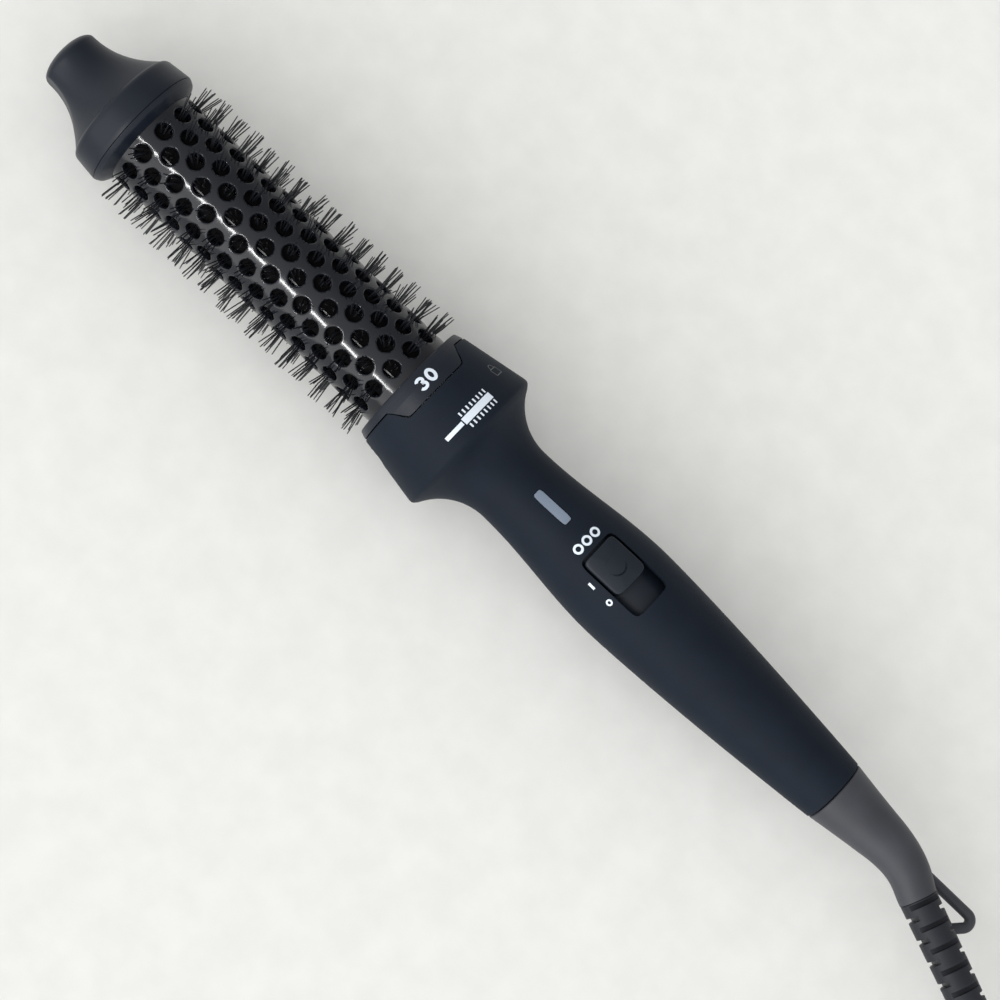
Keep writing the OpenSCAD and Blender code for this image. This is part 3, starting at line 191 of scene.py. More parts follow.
def at(place, x, y, z):
    """A point given in mm from a place on the part."""
    return place @ (Vector((x, y, z)) * MM)


def new_piece(name, mesh, material):
    """Puts a mesh into the scene as a piece of one material."""
    bmesh.ops.recalc_face_normals(mesh, faces=mesh.faces)
    shape = bpy.data.meshes.new(name)
    mesh.to_mesh(shape)
    mesh.free()
    shape.materials.append(material)
    piece = bpy.data.objects.new(name, shape)
    bpy.context.scene.collection.objects.link(piece)
    return piece


def turned(name, outline, material, place, steps=96, start=0.0, sweep=360.0):
    """Turns a closed outline, of places along the axis and radii in mm, about the axis of a place."""
    mesh = bmesh.new()
    whole = sweep == 360
    stops = []
    for k in range(steps if whole else steps + 1):
        a = math.radians(start + sweep * k / steps)
        stops.append([mesh.verts.new(at(place, x, -r * math.sin(a), r * math.cos(a))) for x, r in outline])
    for k, stop in enumerate(stops if whole else stops[1:]):
        before = stops[k - 1] if whole else stops[k]
        for i in range(len(outline)):
            mesh.faces.new((before[i - 1], before[i], stop[i], stop[i - 1]))
    if not whole:
        for end in (stops[0], stops[-1]):
            mesh.faces.new(end)
    bmesh.ops.remove_doubles(mesh, verts=mesh.verts, dist=1e-7)
    return new_piece(name, mesh, material)


def boxes(name, sizes, place, material):
    """One mesh of boxes, each given by its middle and its size in mm."""
    mesh = bmesh.new()
    for middle, size in sizes:
        made = bmesh.ops.create_cube(mesh, size=1)["verts"]
        for v in made:
            v.co = at(place, *(m + c * s for m, c, s in zip(middle, v.co, size)))
    return new_piece(name, mesh, material)


def settle(piece):
    """Makes a piece's modifiers part of its mesh."""
    bpy.context.view_layer.update()
    shape = bpy.data.meshes.new_from_object(piece.evaluated_get(bpy.context.evaluated_depsgraph_get()))
    piece.modifiers.clear()
    piece.data = shape


def cut(piece, *tools, keep="DIFFERENCE"):
    """Cuts tools away from a piece, and takes the tools away. It can also keep only what they share."""
    for tool in tools:
        boolean = piece.modifiers.new("cut", "BOOLEAN")
        boolean.operation = keep
        boolean.solver = "EXACT"
        boolean.object = tool
        settle(piece)
        bpy.data.objects.remove(tool)


def eased(piece, width, segments=2):
    """Rounds the sharp edges of a piece, by a width in mm."""
    bevel = piece.modifiers.new("edges", "BEVEL")
    bevel.width = width * MM
    bevel.segments = segments
    bevel.limit_method = "ANGLE"
    bevel.angle_limit = math.radians(40)
    settle(piece)


def fitted(piece, body, slot, *stands_for, crease=35):
    """Shades a piece smooth up to its creases, fits it to its body and hides the parts it stands for. Its
    slot is not used.
    """
    piece.data.shade_smooth()
    piece.data.set_sharp_from_angle(angle=math.radians(crease))
    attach(piece, body)
    if stands_for:
        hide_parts(*stands_for)


sleeve_black = finish(
    "sleeve_black", (0.0115, 0.0128, 0.018), (0.0165, 0.018, 0.0245), 1800, 0.5, 0.3, specular=0.25
)
relief_place = Matrix.Translation(relief_start) @ Matrix.Rotation(math.pi - relief_turn, 4, "Z")
relief_r, relief_end_r = 5.45, 5.0
cord_bore_r, relief_parts = 3.05, 40
slots_along, first_slot, slot_step, slot_w, slot_floor = 13, 1.3, 3.25, 1.5, 3.25
relief_outline = [(0, cord_bore_r), (0, relief_r - 0.3), (0.25, relief_r)]
for t in [k / relief_parts for k in range(1, relief_parts)]:
    relief_outline.append((relief_len * t, relief_r + (relief_end_r - relief_r) * t))
relief_outline += [(relief_len - 0.4, relief_end_r), (relief_len, relief_end_r - 0.4)]
relief_outline.append((relief_len, cord_bore_r))
strain_relief = turned("strain_relief_sleeve", relief_outline, sleeve_black, relief_place, steps=72)
slots = []
for i in range(slots_along):
    for side in (-1, 1):
        along, out = first_slot + i * slot_step, side * (slot_floor + 4)
        middle = (along, 0, out) if i % 2 == 0 else (along, out, 0)
        size = (slot_w, 13, 8) if i % 2 == 0 else (slot_w, 8, 13)
        slots.append((middle, size))
cut(strain_relief, boxes("slots", slots, relief_place, sleeve_black))
eased(strain_relief, 0.14)
fitted(strain_relief, "tail", "tail_grey", "strain_relief")

# Hank tie: a flat band of ribbed rubber, stretched round the folded cord. It holds the hank's four
# loops together at their waist.
tie_rubber = finish("tie_rubber", (0.02, 0.02, 0.022), (0.03, 0.03, 0.033), 900, 0.6, 0.5)


def dress(name, material):
    """Gives a piece of the frame, which keeps its shape, its own material."""
    nodes[name].data.materials.clear()
    nodes[name].data.materials.append(material)


dress("hank_tie", tie_rubber)

# Plug: a flat two-pin mains plug of hard PVC, moulded over the cord's end, with grip ribs and a ringed
# sleeve. Its pins are nickel-plated brass, insulated next to the body.
plug_black = finish("plug_black", (0.022, 0.022, 0.025), (0.032, 0.032, 0.036), 1400, 0.42, 0.3)
plated_pins = finish("plated_pins", (0.62, 0.6, 0.56), (0.74, 0.72, 0.68), 900, 0.24, 0.1, metal=1.0)
plug_place = Matrix.Translation(plug_entry)
plug_relief_len, plug_len, plug_half_w, plug_half_t, pin_aside = 18, 36, 17.65, 6.85, 9.5
sleeve_outline = [(-plug_relief_len, cord_bore_r), (-plug_relief_len, 4.9)]
sleeve_grooves, first_groove, groove_step = 5, -15.6, 3.2
for i in range(sleeve_grooves):
    x = first_groove + groove_step * i
    r = 3.8 - 1.15 * x / plug_relief_len
    sleeve_outline += [(x - 0.2, r), (x, r - 0.25), (x, r - 0.8)]
    sleeve_outline += [(x + 1.2, r - 0.8), (x + 1.2, r - 0.25), (x + 1.4, r)]
sleeve_outline += [(-0.3, 3.75), (0, 3.45), (0, cord_bore_r)]
plug_sleeve = turned("plug_sleeve", sleeve_outline, plug_black, plug_place, steps=48)
fitted(plug_sleeve, "tail", "plug_black", "plug_relief")


def skinned(name, rings, material, joined=False):
    """Stretches a skin over rings of points, and closes its ends or joins them to each other."""
    mesh = bmesh.new()
    loops = [[mesh.verts.new(point) for point in ring] for ring in rings]
    for k, loop in enumerate(loops if joined else loops[1:]):
        before = loops[k - 1] if joined else loops[k]
        for i in range(len(loop)):
            mesh.faces.new((before[i - 1], before[i], loop[i], loop[i - 1]))
    if not joined:
        mesh.faces.new(loops[0])
        mesh.faces.new(loops[-1])
    return new_piece(name, mesh, material)


end_half_w, end_half_t, rib_depth = 5.2, 5.1, 0.3
plug_parts, first_rib, last_rib = 72, 30, 57
plug_rings = []
for i in range(plug_parts + 1):
    x = -plug_relief_len - plug_len * (1 - i / plug_parts)
    back = max(0, (i / plug_parts - 0.5) * 2)
    taper = 1 - (3 * back**2 - 2 * back**3)
    lip = min(1, (i + 0.01) / 3)
    rounding = 1 - 0.07 * (1 - lip) ** 2
    rib = rib_depth * math.sin(math.pi * (i - first_rib) / 3) ** 2 if first_rib <= i <= last_rib else 0
    half_w = (end_half_w + (plug_half_w - end_half_w) * taper) * rounding
    half_t = (end_half_t + (plug_half_t - end_half_t) * taper - rib) * rounding
    ring = []
    for k in range(plug_parts):
        a = math.tau * k / plug_parts
        c, s = math.cos(a), math.sin(a)
        power = 2 / (2.2 + 0.6 * taper)
        y, z = half_w * math.copysign(abs(c) ** power, c), half_t * math.copysign(abs(s) ** power, s)
        ring.append(at(plug_place, x, y, z))
    plug_rings.append(ring)
plug_shell = skinned("plug_shell", plug_rings, plug_black)
fitted(plug_shell, "tail", "plug_black", "plug_body")
plug_pieces = [strain_relief, nodes["hank_tie"], plug_sleeve, plug_shell]
for side, hand in ((-1, "left"), (1, "right")):
    pin_root = Vector((-plug_relief_len - plug_len, pin_aside * side, 0)) * MM
    pin_place = plug_place @ Matrix.Translation(pin_root)
    pin = [(-19, 0), (-19, 1.0), (-18.7, 1.5), (-18.2, 1.85), (-17.7, 2.0), (-10, 2.0), (-10, 0)]
    plug_pin = turned(f"plug_pin_{hand}", pin, plated_pins, pin_place, steps=40)
    fitted(plug_pin, "tail", "pin_metal", "plug_pins")
    sleeve = [(-10, 0), (-10, 1.6), (-9.8, 1.75), (2, 1.75), (2, 0)]
    pin_sleeve = turned(f"pin_sleeve_{hand}", sleeve, plug_black, pin_place, steps=40)
    fitted(pin_sleeve, "tail", "plug_black", "plug_pins")
    plug_pieces += [plug_pin, pin_sleeve]

# Table and daylight: a plain off-white table top in a pale room, a little brighter on the side where
# the cord leaves, with a soft window there. A narrow slit of light, seen only in reflections, gives
# the thin line on the glossy barrel.
table_mesh = bmesh.new()
bmesh.ops.create_grid(table_mesh, x_segments=1, y_segments=1, size=3)
table_white = finish("table_white", (0.77, 0.775, 0.76), (0.81, 0.815, 0.8), 60, 0.8, 0.05, specular=0.2)
room_low, room_high, room_top, room_aside, backdrop = 1.4, 0.9, 0.85, 0.75, 0.8
table = new_piece("table", table_mesh, table_white)
world = bpy.data.worlds.new("room")
bpy.context.scene.world = world
world.use_nodes = True
room = world.node_tree
sky = room.nodes["Background"]
heading = room.nodes.new("ShaderNodeTexCoord")
parts = room.nodes.new("ShaderNodeSeparateXYZ")
height = room.nodes.new("ShaderNodeMapRange")
height.inputs["From Max"].default_value = room_top
height.inputs["To Min"].default_value = room_low
height.inputs["To Max"].default_value = room_high
aside = room.nodes.new("ShaderNodeMath")
aside.operation = "MULTIPLY_ADD"
aside.inputs[1].default_value = room_aside
ray = room.nodes.new("ShaderNodeLightPath")
seen = room.nodes.new("ShaderNodeMix")
seen.inputs["B"].default_value = backdrop
room.links.new(heading.outputs["Generated"], parts.inputs["Vector"])
room.links.new(parts.outputs["Z"], height.inputs["Value"])
room.links.new(parts.outputs["Y"], aside.inputs[0])
room.links.new(height.outputs["Result"], aside.inputs[2])
room.links.new(ray.outputs["Is Camera Ray"], seen.inputs["Factor"])
room.links.new(aside.outputs["Value"], seen.inputs["A"])
room.links.new(seen.outputs["Result"], sky.inputs["Strength"])
sky.inputs["Color"].default_value = (1, 0.995, 0.98, 1)


def lamp(name, place, towards, watts, wide, tall):
    """A rectangular lamp at a place, in metres, that shines towards another."""
    light = bpy.data.lights.new(name, "AREA")
    light.shape = "RECTANGLE"
    light.size, light.size_y, light.energy = wide, tall, watts
    held = bpy.data.objects.new(name, light)
    held.location = place
    held.rotation_euler = (Vector(place) - Vector(towards)).to_track_quat("Z", "Y").to_euler()
    bpy.context.scene.collection.objects.link(held)
    return held


lamp("window", (-0.2, 1.5, 0.8), (0, 0, 0), 9, 2.4, 1.4)
barrel_middle = Vector((0.09, 0, axis_z))
slit_from, slit_to = Vector((0.243, 0.291, 0.548)), Vector((0.074, 0.464, 0.403))
slit_middle = (slit_from + slit_to) / 2
slit = lamp("slit", slit_middle, barrel_middle, 1.1, 0.02, (slit_to - slit_from).length)
slit_facing = (slit_middle - barrel_middle).normalized()
slit_long = (slit_to - slit_from).normalized()
slit_across = slit_long.cross(slit_facing).normalized()
slit.visible_diffuse = False
slit.matrix_world = Matrix.Translation(slit.location) @ Matrix(
    (slit_across, slit_long, slit_across.cross(slit_long))
).transposed().to_4x4()

# Boot: the moulded tail that turns with the cord. Soft PVC, round at the front and bent towards the
# cord, with a lug below it that holds the hanging loop.
tail_black = finish(
    "tail_black", (0.034, 0.0355, 0.044), (0.044, 0.0465, 0.057), 1800, 0.5, 0.3, specular=0.35
)
tail_place = Matrix.Translation((tail_x, 0, axis_z))
boot_r, boot_end_r, boot_straight = 9.8, 5.55, 16.2
boot_edge, straight_parts, bend_parts, ring_points = 0.25, 16, 36, 72
boot_end = Vector((-boot_reach, boot_aside, 0))
bend = [Vector((-boot_straight, 0, 0)), Vector((-30.2, -0.3, 0)), boot_end - 4.7 * relief_way, boot_end]
boot_line = [Vector((-boot_edge, 0, 0))]
boot_line += [Vector((-boot_straight * k / straight_parts, 0, 0)) for k in range(1, straight_parts)]
for k in range(bend_parts + 1):
    t = k / bend_parts
    weights = ((1 - t) ** 3, 3 * t * (1 - t) ** 2, 3 * t * t * (1 - t), t**3)
    boot_line.append(sum((w * point for w, point in zip(weights, bend)), Vector((0, 0, 0))))
lengths = [boot_edge]
for before, after in zip(boot_line, boot_line[1:]):
    lengths.append(lengths[-1] + (after - before).length)


def round_ring(place, centre, way, r, sides):
    """A ring of points round a line that lies level, in mm from a place."""
    aside = Vector((0, 0, 1)).cross(way).normalized()
    ring = []
    for k in range(sides):
        a = math.tau * k / sides
        ring.append(at(place, *(centre + r * math.cos(a) * aside + r * math.sin(a) * Vector((0, 0, 1)))))
    return ring


boot_rings = [round_ring(tail_place, Vector((0, 0, 0)), Vector((-1, 0, 0)), boot_r - 0.3, ring_points)]
for k, centre in enumerate(boot_line):
    way = boot_line[min(k + 1, len(boot_line) - 1)] - boot_line[max(k - 1, 0)]
    if k == len(boot_line) - 1:
        way = relief_way
    r = boot_end_r + (boot_r - boot_end_r) * (1 - lengths[k] / lengths[-1]) ** 1.3
    boot_rings.append(round_ring(tail_place, centre, way, r, ring_points))
boot = skinned("boot", boot_rings, tail_black)
fitted(boot, "tail", "tail_grey", "tail_boot")
loop_lug = boxes("loop_lug", [((-28.3, -0.5, -7.1), (5.5, 9.6, 6.2))], tail_place, tail_black)
eased(loop_lug, 1.3, segments=4)
fitted(loop_lug, "tail", "tail_grey", "tail_boot")

# Hanging loop: a round rod of the same black plastic, bent into a triangle with rounded corners and
# held near its front corner by the lug under the boot.
loop_corners = [Vector((-21.7, -2.7, 0)), Vector((-56.8, -2.7, 0)), Vector((-45.1, 9.8, 0))]
loop_r, loop_bend_r, loop_drop, corner_parts = 1.6, 2.2, 7.6, 16
loop_rings = []
for k, corner in enumerate(loop_corners):
    back = (loop_corners[k - 1] - corner).normalized()
    ahead = (loop_corners[(k + 1) % 3] - corner).normalized()
    half = back.angle(ahead) / 2
    centre = corner + (back + ahead).normalized() * loop_bend_r / math.sin(half)
    outward = math.atan2(*(corner - centre).yx)
    for step in range(corner_parts + 1):
        a = outward + (math.pi / 2 - half) * (1 - 2 * step / corner_parts)
        stop = centre + Vector((math.cos(a), math.sin(a), 0)) * loop_bend_r - Vector((0, 0, loop_drop))
        loop_rings.append(round_ring(tail_place, stop, Vector((math.sin(a), -math.cos(a), 0)), loop_r, 20))
hanging_loop = skinned("hanging_loop_rod", loop_rings, tail_black, joined=True)
fitted(hanging_loop, "tail", "tail_grey", "hanging_loop")

# Handle: two shells of nylon, moulded with a soft-touch black skin, screwed together from below. The
# head flares to a shoulder that keeps the hot barrel off the table, and the grip swells behind its neck.
brush_place = Matrix.Translation((seam_x, 0, axis_z))
soft_black = finish(
    "soft_black", (0.0074, 0.0115, 0.0195), (0.0092, 0.014, 0.0228), 2600, 0.56, 0.35, specular=0.09
)
head_front_r, head_r, head_len = 19.45, 23.05, 20.35
hollow_r, neck_r, neck_at = 17.4, 12.2, 37.95
grip_r, grip_at, rear_r, handle_len = 15.33, 80.85, 9.95, 159.5
shell_wall, seam_gap = 1.8, 0.3
cut_low, cut_high = 2, 30


def handle_radius(d):
    """Outside radius of the handle, at a distance behind its front edge, in mm."""
    if d <= head_len:
        return head_front_r + (head_r - head_front_r) * d / head_len
    if d <= neck_at:
        return neck_r + hollow_r - math.sqrt(hollow_r**2 - (neck_at - d) ** 2)
    if d <= grip_at:
        return neck_r + (grip_r - neck_r) / 2 * (1 - math.cos(math.pi * (d - neck_at) / (grip_at - neck_at)))
    return grip_r - (grip_r - rear_r) * ((d - grip_at) / (handle_len - grip_at)) ** 1.42


def softened(line):
    """Cuts the corners of an open line of points twice, so that it runs smoothly."""
    for _ in range(2):
        smooth = [line[0]]
        for (a, b), (c, d) in zip(line, line[1:]):
            smooth += [(0.75 * a + 0.25 * c, 0.75 * b + 0.25 * d), (0.25 * a + 0.75 * c, 0.25 * b + 0.75 * d)]
        line = smooth + [line[-1]]
    return line


def soft_rectangle(length, width, bow, points=64):
    """Outline of a rectangle with round corners and slightly bowed sides, seen from above."""
    outline = []
    for k in range(points):
        a = math.tau * (k + 0.5) / points
        c, s = math.cos(a), math.sin(a)
        x, y = math.copysign(abs(c) ** (2 / bow), c), math.copysign(abs(s) ** (2 / bow), s)
        outline.append((length / 2 * x, width / 2 * y))
    return outline


def upright(name, outline, material):
    """A block with upright sides through the handle's top, from its outline seen from above."""
    rings = [[at(brush_place, x, y, z) for x, y in outline] for z in (cut_low, cut_high)]
    return skinned(name, rings, material)


def tongue_outline(spare):
    """Outline of the collar's tongue, grown by a clearance."""
    line = [(2, 13.7), (0.2, 13.5), (-0.5, 13.0), (-2.2, 12.0), (-4.2, 10.9), (-5.1, 10.3)]
    edge = softened(line + [(-5.25, 9.3), (-5.25, 7), (-5.25, 4)])
    side = [(x - spare * min(1, max(0, -x - 2.5)), y + spare) for x, y in edge]
    return side + [(x, -y) for x, y in reversed(side)]


shoulder = [(-19.15, handle_radius(19.15)), (-20.35, 23.05), (-21.1, 22.98), (-21.65, 22.65), (-22.55, 21.5)]
outside = [(-0.3, head_front_r - 0.2), (-0.45, head_front_r + 0.03)]
outside += [(-d, handle_radius(d)) for d in [0.9 + 1.3 * k for k in range(14)]]
outside += softened(shoulder)
outside += [(-d, handle_radius(d)) for d in [23.3 + 14.65 * k / 20 for k in range(20)]]
outside += [(-d, handle_radius(d)) for d in [neck_at + 1.65 * k for k in range(26)]]
grip_places = [grip_at + (handle_len - 0.25 - grip_at) * k / 44 for k in range(45)]
outside += [(-d, handle_radius(d)) for d in grip_places]
outside += [(-handle_len, rear_r - 0.25)]
inside = [(-handle_len, rear_r - shell_wall)]
inside += [(-d, handle_radius(d) - shell_wall) for d in (140, 120, 100, 85, 70, 55, 45, neck_at)]
inside += [(-32, 12.1), (-27, 15.3), (-23, 19.3), (-20.4, head_r - shell_wall)]
inside.append((-0.3, head_front_r - shell_wall))
top_shell = turned("top_shell", outside + inside, soft_black, brush_place, start=-90, sweep=180)
window_at, window_len, window_w = -76.4, 21.7, 13
lens_at, lens_len, lens_w = -49.8, 11.9, 2.9
window_outline = soft_rectangle(window_len, window_w, 9)
window_hole = upright("window_hole", window_outline, soft_black)
window_hole.data.transform(Matrix.Translation((window_at * MM, 0, 0)))
slot_outline = soft_rectangle(lens_len + seam_gap, lens_w + seam_gap, 7)
lens_hole = upright("lens_hole", slot_outline, soft_black)
lens_hole.data.transform(Matrix.Translation((lens_at * MM, 0, 0)))
tongue_hole = upright("tongue_hole", tongue_outline(seam_gap), soft_black)
cut(top_shell, window_hole, lens_hole, tongue_hole)
fitted(top_shell, "handle", "handle_black", "handle_top_shell", crease=28)
bottom_shell = turned("bottom_shell", outside + inside, soft_black, brush_place, start=90, sweep=180)
button_at, button_drop, button_hole_r = 6, 3.7, 3.05
button_place = brush_place @ Matrix.Translation(Vector((-button_at, 0, -button_drop)) * MM)
button_place @= Matrix.Rotation(math.pi / 2, 4, "Z")
button_bore = [(5, 0), (5, button_hole_r), (30, button_hole_r), (30, 0)]
button_hole = turned("button_hole", button_bore, soft_black, button_place, steps=48)
cut(bottom_shell, button_hole)
screw_places, screw_hole_r = (40.05, 123.5), 2.5
for d in screw_places:
    screw_place = brush_place @ Matrix.Translation(Vector((-d, 0, 0)) * MM)
    screw_place @= Matrix.Rotation(math.pi / 2, 4, "Y")
    screw_hole = [(3, 0), (3, screw_hole_r), (30, screw_hole_r), (30, 0)]
    cut(bottom_shell, turned("screw_hole", screw_hole, soft_black, screw_place, steps=40))
fitted(bottom_shell, "handle", "handle_black", "handle_bottom_shell", crease=28)

# Prints: white pad-printed marks. A round brush and three rings are pictograms, and I and O stand for
# on and off. The padlock, on the head's side away from the release button, is only a faint outline.
print_white = finish("print_white", (0.66, 0.74, 0.84), (0.74, 0.81, 0.9), 3000, 0.45, 0.2)
faint_mark = finish("faint_mark", (0.05, 0.053, 0.062), (0.065, 0.068, 0.078), 3000, 0.5, 0.2)
paint_height = 0.04


def print_on(name, strokes, material, middle, turn, radius):
    """Lays strokes of paint on a turned surface. Their points are right and up of the print's middle."""
    mesh = bmesh.new()
    for width, closed, line in strokes:
        count = len(line)
        rails = []
        for k, (x, y) in enumerate(line):
            before = line[k - 1] if closed or k else line[0]
            after = line[(k + 1) % count] if closed or k < count - 1 else line[-1]
            way = Vector((after[0] - before[0], after[1] - before[1])).normalized()
            rail = []
            for side in (-1, -0.5, 0, 0.5, 1):
                right, up = x - way.y * side * width / 2, y + way.x * side * width / 2
                r = radius(-middle - up) + paint_height
                a = turn + right / r
                rail.append(mesh.verts.new(at(brush_place, middle + up, -r * math.sin(a), r * math.cos(a))))
            rails.append(rail)
        for k in range(count if closed else count - 1):
            one, two = rails[k], rails[(k + 1) % count]
            for i in range(4):
                mesh.faces.new((one[i], one[i + 1], two[i + 1], two[i]))
    return new_piece(name, mesh, material)


def straight(width, start, end, parts=12):
    """A straight stroke in even parts."""
    line = [tuple(a + (b - a) * k / parts for a, b in zip(start, end)) for k in range(parts + 1)]
    return (width, False, line)


def bowl(width, centre, reach, start, end, closed=False, parts=40):
    """A stroke along an oval, from one angle to another in degrees."""
    line = []
    for k in range(parts + (0 if closed else 1)):
        a = math.radians(start + (end - start) * k / parts)
        line.append((centre[0] + reach[0] * math.cos(a), centre[1] + reach[1] * math.sin(a)))
    return (width, closed, line)


brush_strokes = [straight(1.25, (-9, 0), (-2.6, 0), 20), straight(2.1, (-2.2, 0), (9, 0), 30)]
for k in range(8):
    x = -1.4 + 1.4 * k
    brush_strokes += [straight(0.5, (x, 1.45), (x, 2.75), 3), straight(0.5, (x, -1.45), (x, -2.75), 3)]
brush_print = print_on("brush_print", brush_strokes, print_white, -16.8, 0, handle_radius)
ring_strokes = [bowl(0.7, (x, 0), (1.12, 1.12), 0, 360, True) for x in (-3.35, 0, 3.35)]
rings_print = print_on("rings_print", ring_strokes, print_white, -62.7, math.radians(-1.7), handle_radius)
on_stroke = [straight(0.75, (0, -1.1), (0, 1.1), 6)]
on_print = print_on("on_print", on_stroke, print_white, -72.2, math.radians(-33.6), handle_radius)
off_stroke = [bowl(0.5, (0, 0), (0.68, 0.72), 0, 360, True)]
off_print = print_on("off_print", off_stroke, print_white, -78.7, math.radians(-32.8), handle_radius)
lock_line = 0.28
lock_corners = [(1.6, 0.85), (-1.6, 0.85), (-1.6, -1.5), (1.6, -1.5), (1.6, 0.85)]
lock_strokes = [bowl(lock_line, (0, 0.95), (1.05, 1.3), 0, 180, parts=16)]
lock_strokes += [straight(lock_line, a, b) for a, b in zip(lock_corners, lock_corners[1:])]
lock_print = print_on("lock_print", lock_strokes, faint_mark, -12.9, math.radians(47.2), handle_radius)
for mark in (brush_print, rings_print, on_print, off_print, lock_print):
    fitted(mark, "handle", None)

# Indicator: a frosted grey-blue lens of moulded acrylic over the lamp on the board. It is snapped in
# from inside, so that it lies flush with the handle.
lens_frost = finish("lens_frost", (0.168, 0.21, 0.28), (0.2, 0.245, 0.32), 700, 0.35, 0.15, specular=0.4)


def crowned(name, outline, centre, top, low, edge, material):
    """A low pad whose top follows a height over its outline, with its upper edge rounded."""
    rings = []
    for share in (0.02, 0.2, 0.4, 0.6, 0.75, 0.87):
        rings.append([(x * share, y * share, 0) for x, y in outline])
    for step in (0, 0.25, 0.5, 0.75, 1.0):
        a = step * math.pi / 2
        ring = []
        for x, y in outline:
            s = 1 - edge * (1 - math.sin(a)) / max(0.1, math.hypot(x, y))
            ring.append((x * s, y * s, edge * (1 - math.cos(a))))
        rings.append(ring)
    skin = [[at(brush_place, centre + x, y, top(x, y) - fall) for x, y, fall in ring] for ring in rings]
    skin.append([at(brush_place, centre + x, y, low) for x, y in outline])
    return skinned(name, skin, material)


def over_handle(centre, rise):
    """Height over the axis of the handle's surface and a rise, round a place along it."""
    return lambda x, y: math.sqrt((handle_radius(-centre - x) + rise) ** 2 - y * y)


lens_outline = soft_rectangle(lens_len, lens_w, 7)
indicator = crowned("indicator", lens_outline, lens_at, over_handle(lens_at, -0.1), 9, 0.15, lens_frost)
fitted(indicator, "handle", "lens_grey", "indicator_lens")

# Power switch: a slider of hard black plastic. Its plate closes the window from inside, and the cap on
# it carries a fine ring mark. It slides 6 mm from I to O and moves the switch on the board.
switch_black = finish(
    "switch_black", (0.0085, 0.013, 0.021), (0.011, 0.0158, 0.0245), 1700, 0.4, 0.2, specular=0.22
)
plate_r, plate_front, plate_rear = 11.7, -58.65, -88.15
plate_turn = math.degrees(math.asin(7.4 / plate_r))
plate = [(plate_rear, 10.5), (plate_rear, 11.4), (plate_rear + 0.3, plate_r)]
plate += [(plate_front - 0.3, plate_r), (plate_front, 11.4), (plate_front, 10.5)]
slider_plate = turned("slider_plate", plate, switch_black, brush_place, 40, -plate_turn, 2 * plate_turn)
fitted(slider_plate, "power_slider", "slider_black", "power_slider")
cap_at, cap_len, cap_w, cap_rise = -73.0, 13.3, 11.5, 0.2
cap_outline = soft_rectangle(cap_len, cap_w, 9, 96)
cap_outline = [(x + 0.5 * (y / 5.75) ** 2 if x < 0 else x, y) for x, y in cap_outline]
cap_top = over_handle(cap_at, cap_rise)
slider_cap = crowned("slider_cap", cap_outline, cap_at, cap_top, 10.6, 0.45, switch_black)
step_r = handle_radius(-cap_at) + cap_rise
step_at = cap_at + 5.0
step_floor, step_rear, step_front = step_r - 0.3, step_at - 0.07, step_at + 0.07
step_tool = [(step_rear, step_floor), (step_rear, 20), (step_front, 20), (step_front, step_floor)]
mark_place = Matrix.Translation(Vector((cap_at - 0.1, 0, step_floor)) * MM)
mark_place @= Matrix.Rotation(-math.pi / 2, 4, "Y")
mark_tool = [(0.05, 2.68), (0.31, 2.5), (3, 2.5), (3, 3.0), (0.31, 3.0), (0.05, 2.82)]
cut(
    slider_cap,
    turned("step_tool", step_tool, switch_black, brush_place, 60, -30, 60),
    turned("mark_tool", mark_tool, switch_black, brush_place @ mark_place, 64),
)
fitted(slider_cap, "power_slider", "slider_black", "power_slider")

# Release button: a small round button of the same plastic, in a hole in the side of the head. A spring
# behind it presses it out.
dress("release_button", switch_black)

# Collar: glass-filled nylon in satin grey. It closes the barrel, plugs into the handle with its spigot,
# and laps over the handle with a tongue that bears the barrel's size, 30 mm.
satin_grey = finish(
    "satin_grey", (0.0065, 0.01, 0.0175), (0.0085, 0.012, 0.0205), 2200, 0.38, 0.25, specular=0.22
)
collar_len, collar_front_r, collar_r, tongue_t = 2.4, 18.6, 19.3, 1.1


def tongue_radius(u):
    """Outside radius of the collar and its tongue, at a place along the axis, in mm."""
    return min(collar_r - (collar_r - collar_front_r) * u / collar_len, handle_radius(max(0, -u)))


collar = [(0.8, 0), (0.8, 15.05), (2.4, 15.05), (2.4, 18.05), (2.34, 18.35), (2.15, 18.55), (1.9, 18.68)]
collar += [(0.3, 19.19), (0.1, 19.2), (0, 19.1), (0, 12.6), (-20.4, 12.6), (-21, 12.0), (-21, 11)]
collar += [(-3, 11), (-3, 0)]
collar_piece = turned("collar", collar, satin_grey, brush_place, steps=128)
catch_hole = turned("catch_hole", [(5, 0), (5, 1.6), (16, 1.6), (16, 0)], satin_grey, button_place, steps=32)
cut(collar_piece, catch_hole)
ramp = [0.8 - 0.15 * k for k in range(16)] + [-1.9 - 0.5 * k for k in range(9)]
tongue = [(u, tongue_radius(u) - (0.02 if u > 0.2 else 0)) for u in ramp]
tongue += [(u, tongue_radius(u) - tongue_t) for u in reversed(ramp)]
tongue_piece = turned("tongue", tongue, satin_grey, brush_place, steps=110, start=-50, sweep=100)
cut(tongue_piece, upright("tongue_form", tongue_outline(0), satin_grey), keep="INTERSECT")
cut(collar_piece, tongue_piece, keep="UNION")
fitted(collar_piece, "brush_head", "satin_grey", "barrel_collar", crease=32)
three = [bowl(0.88, (-1.82, 0.8), (0.98, 0.72), 165, -90), bowl(0.88, (-1.82, -0.8), (1.06, 0.82), 90, -165)]
nought = [bowl(0.95, (1.8, 0), (1.08, 1.55), 0, 360, True)]
size_print = print_on("size_print", three + nought, print_white, -1.45, -0.008, lambda d: tongue_radius(-d))
fitted(size_print, "brush_head", None)

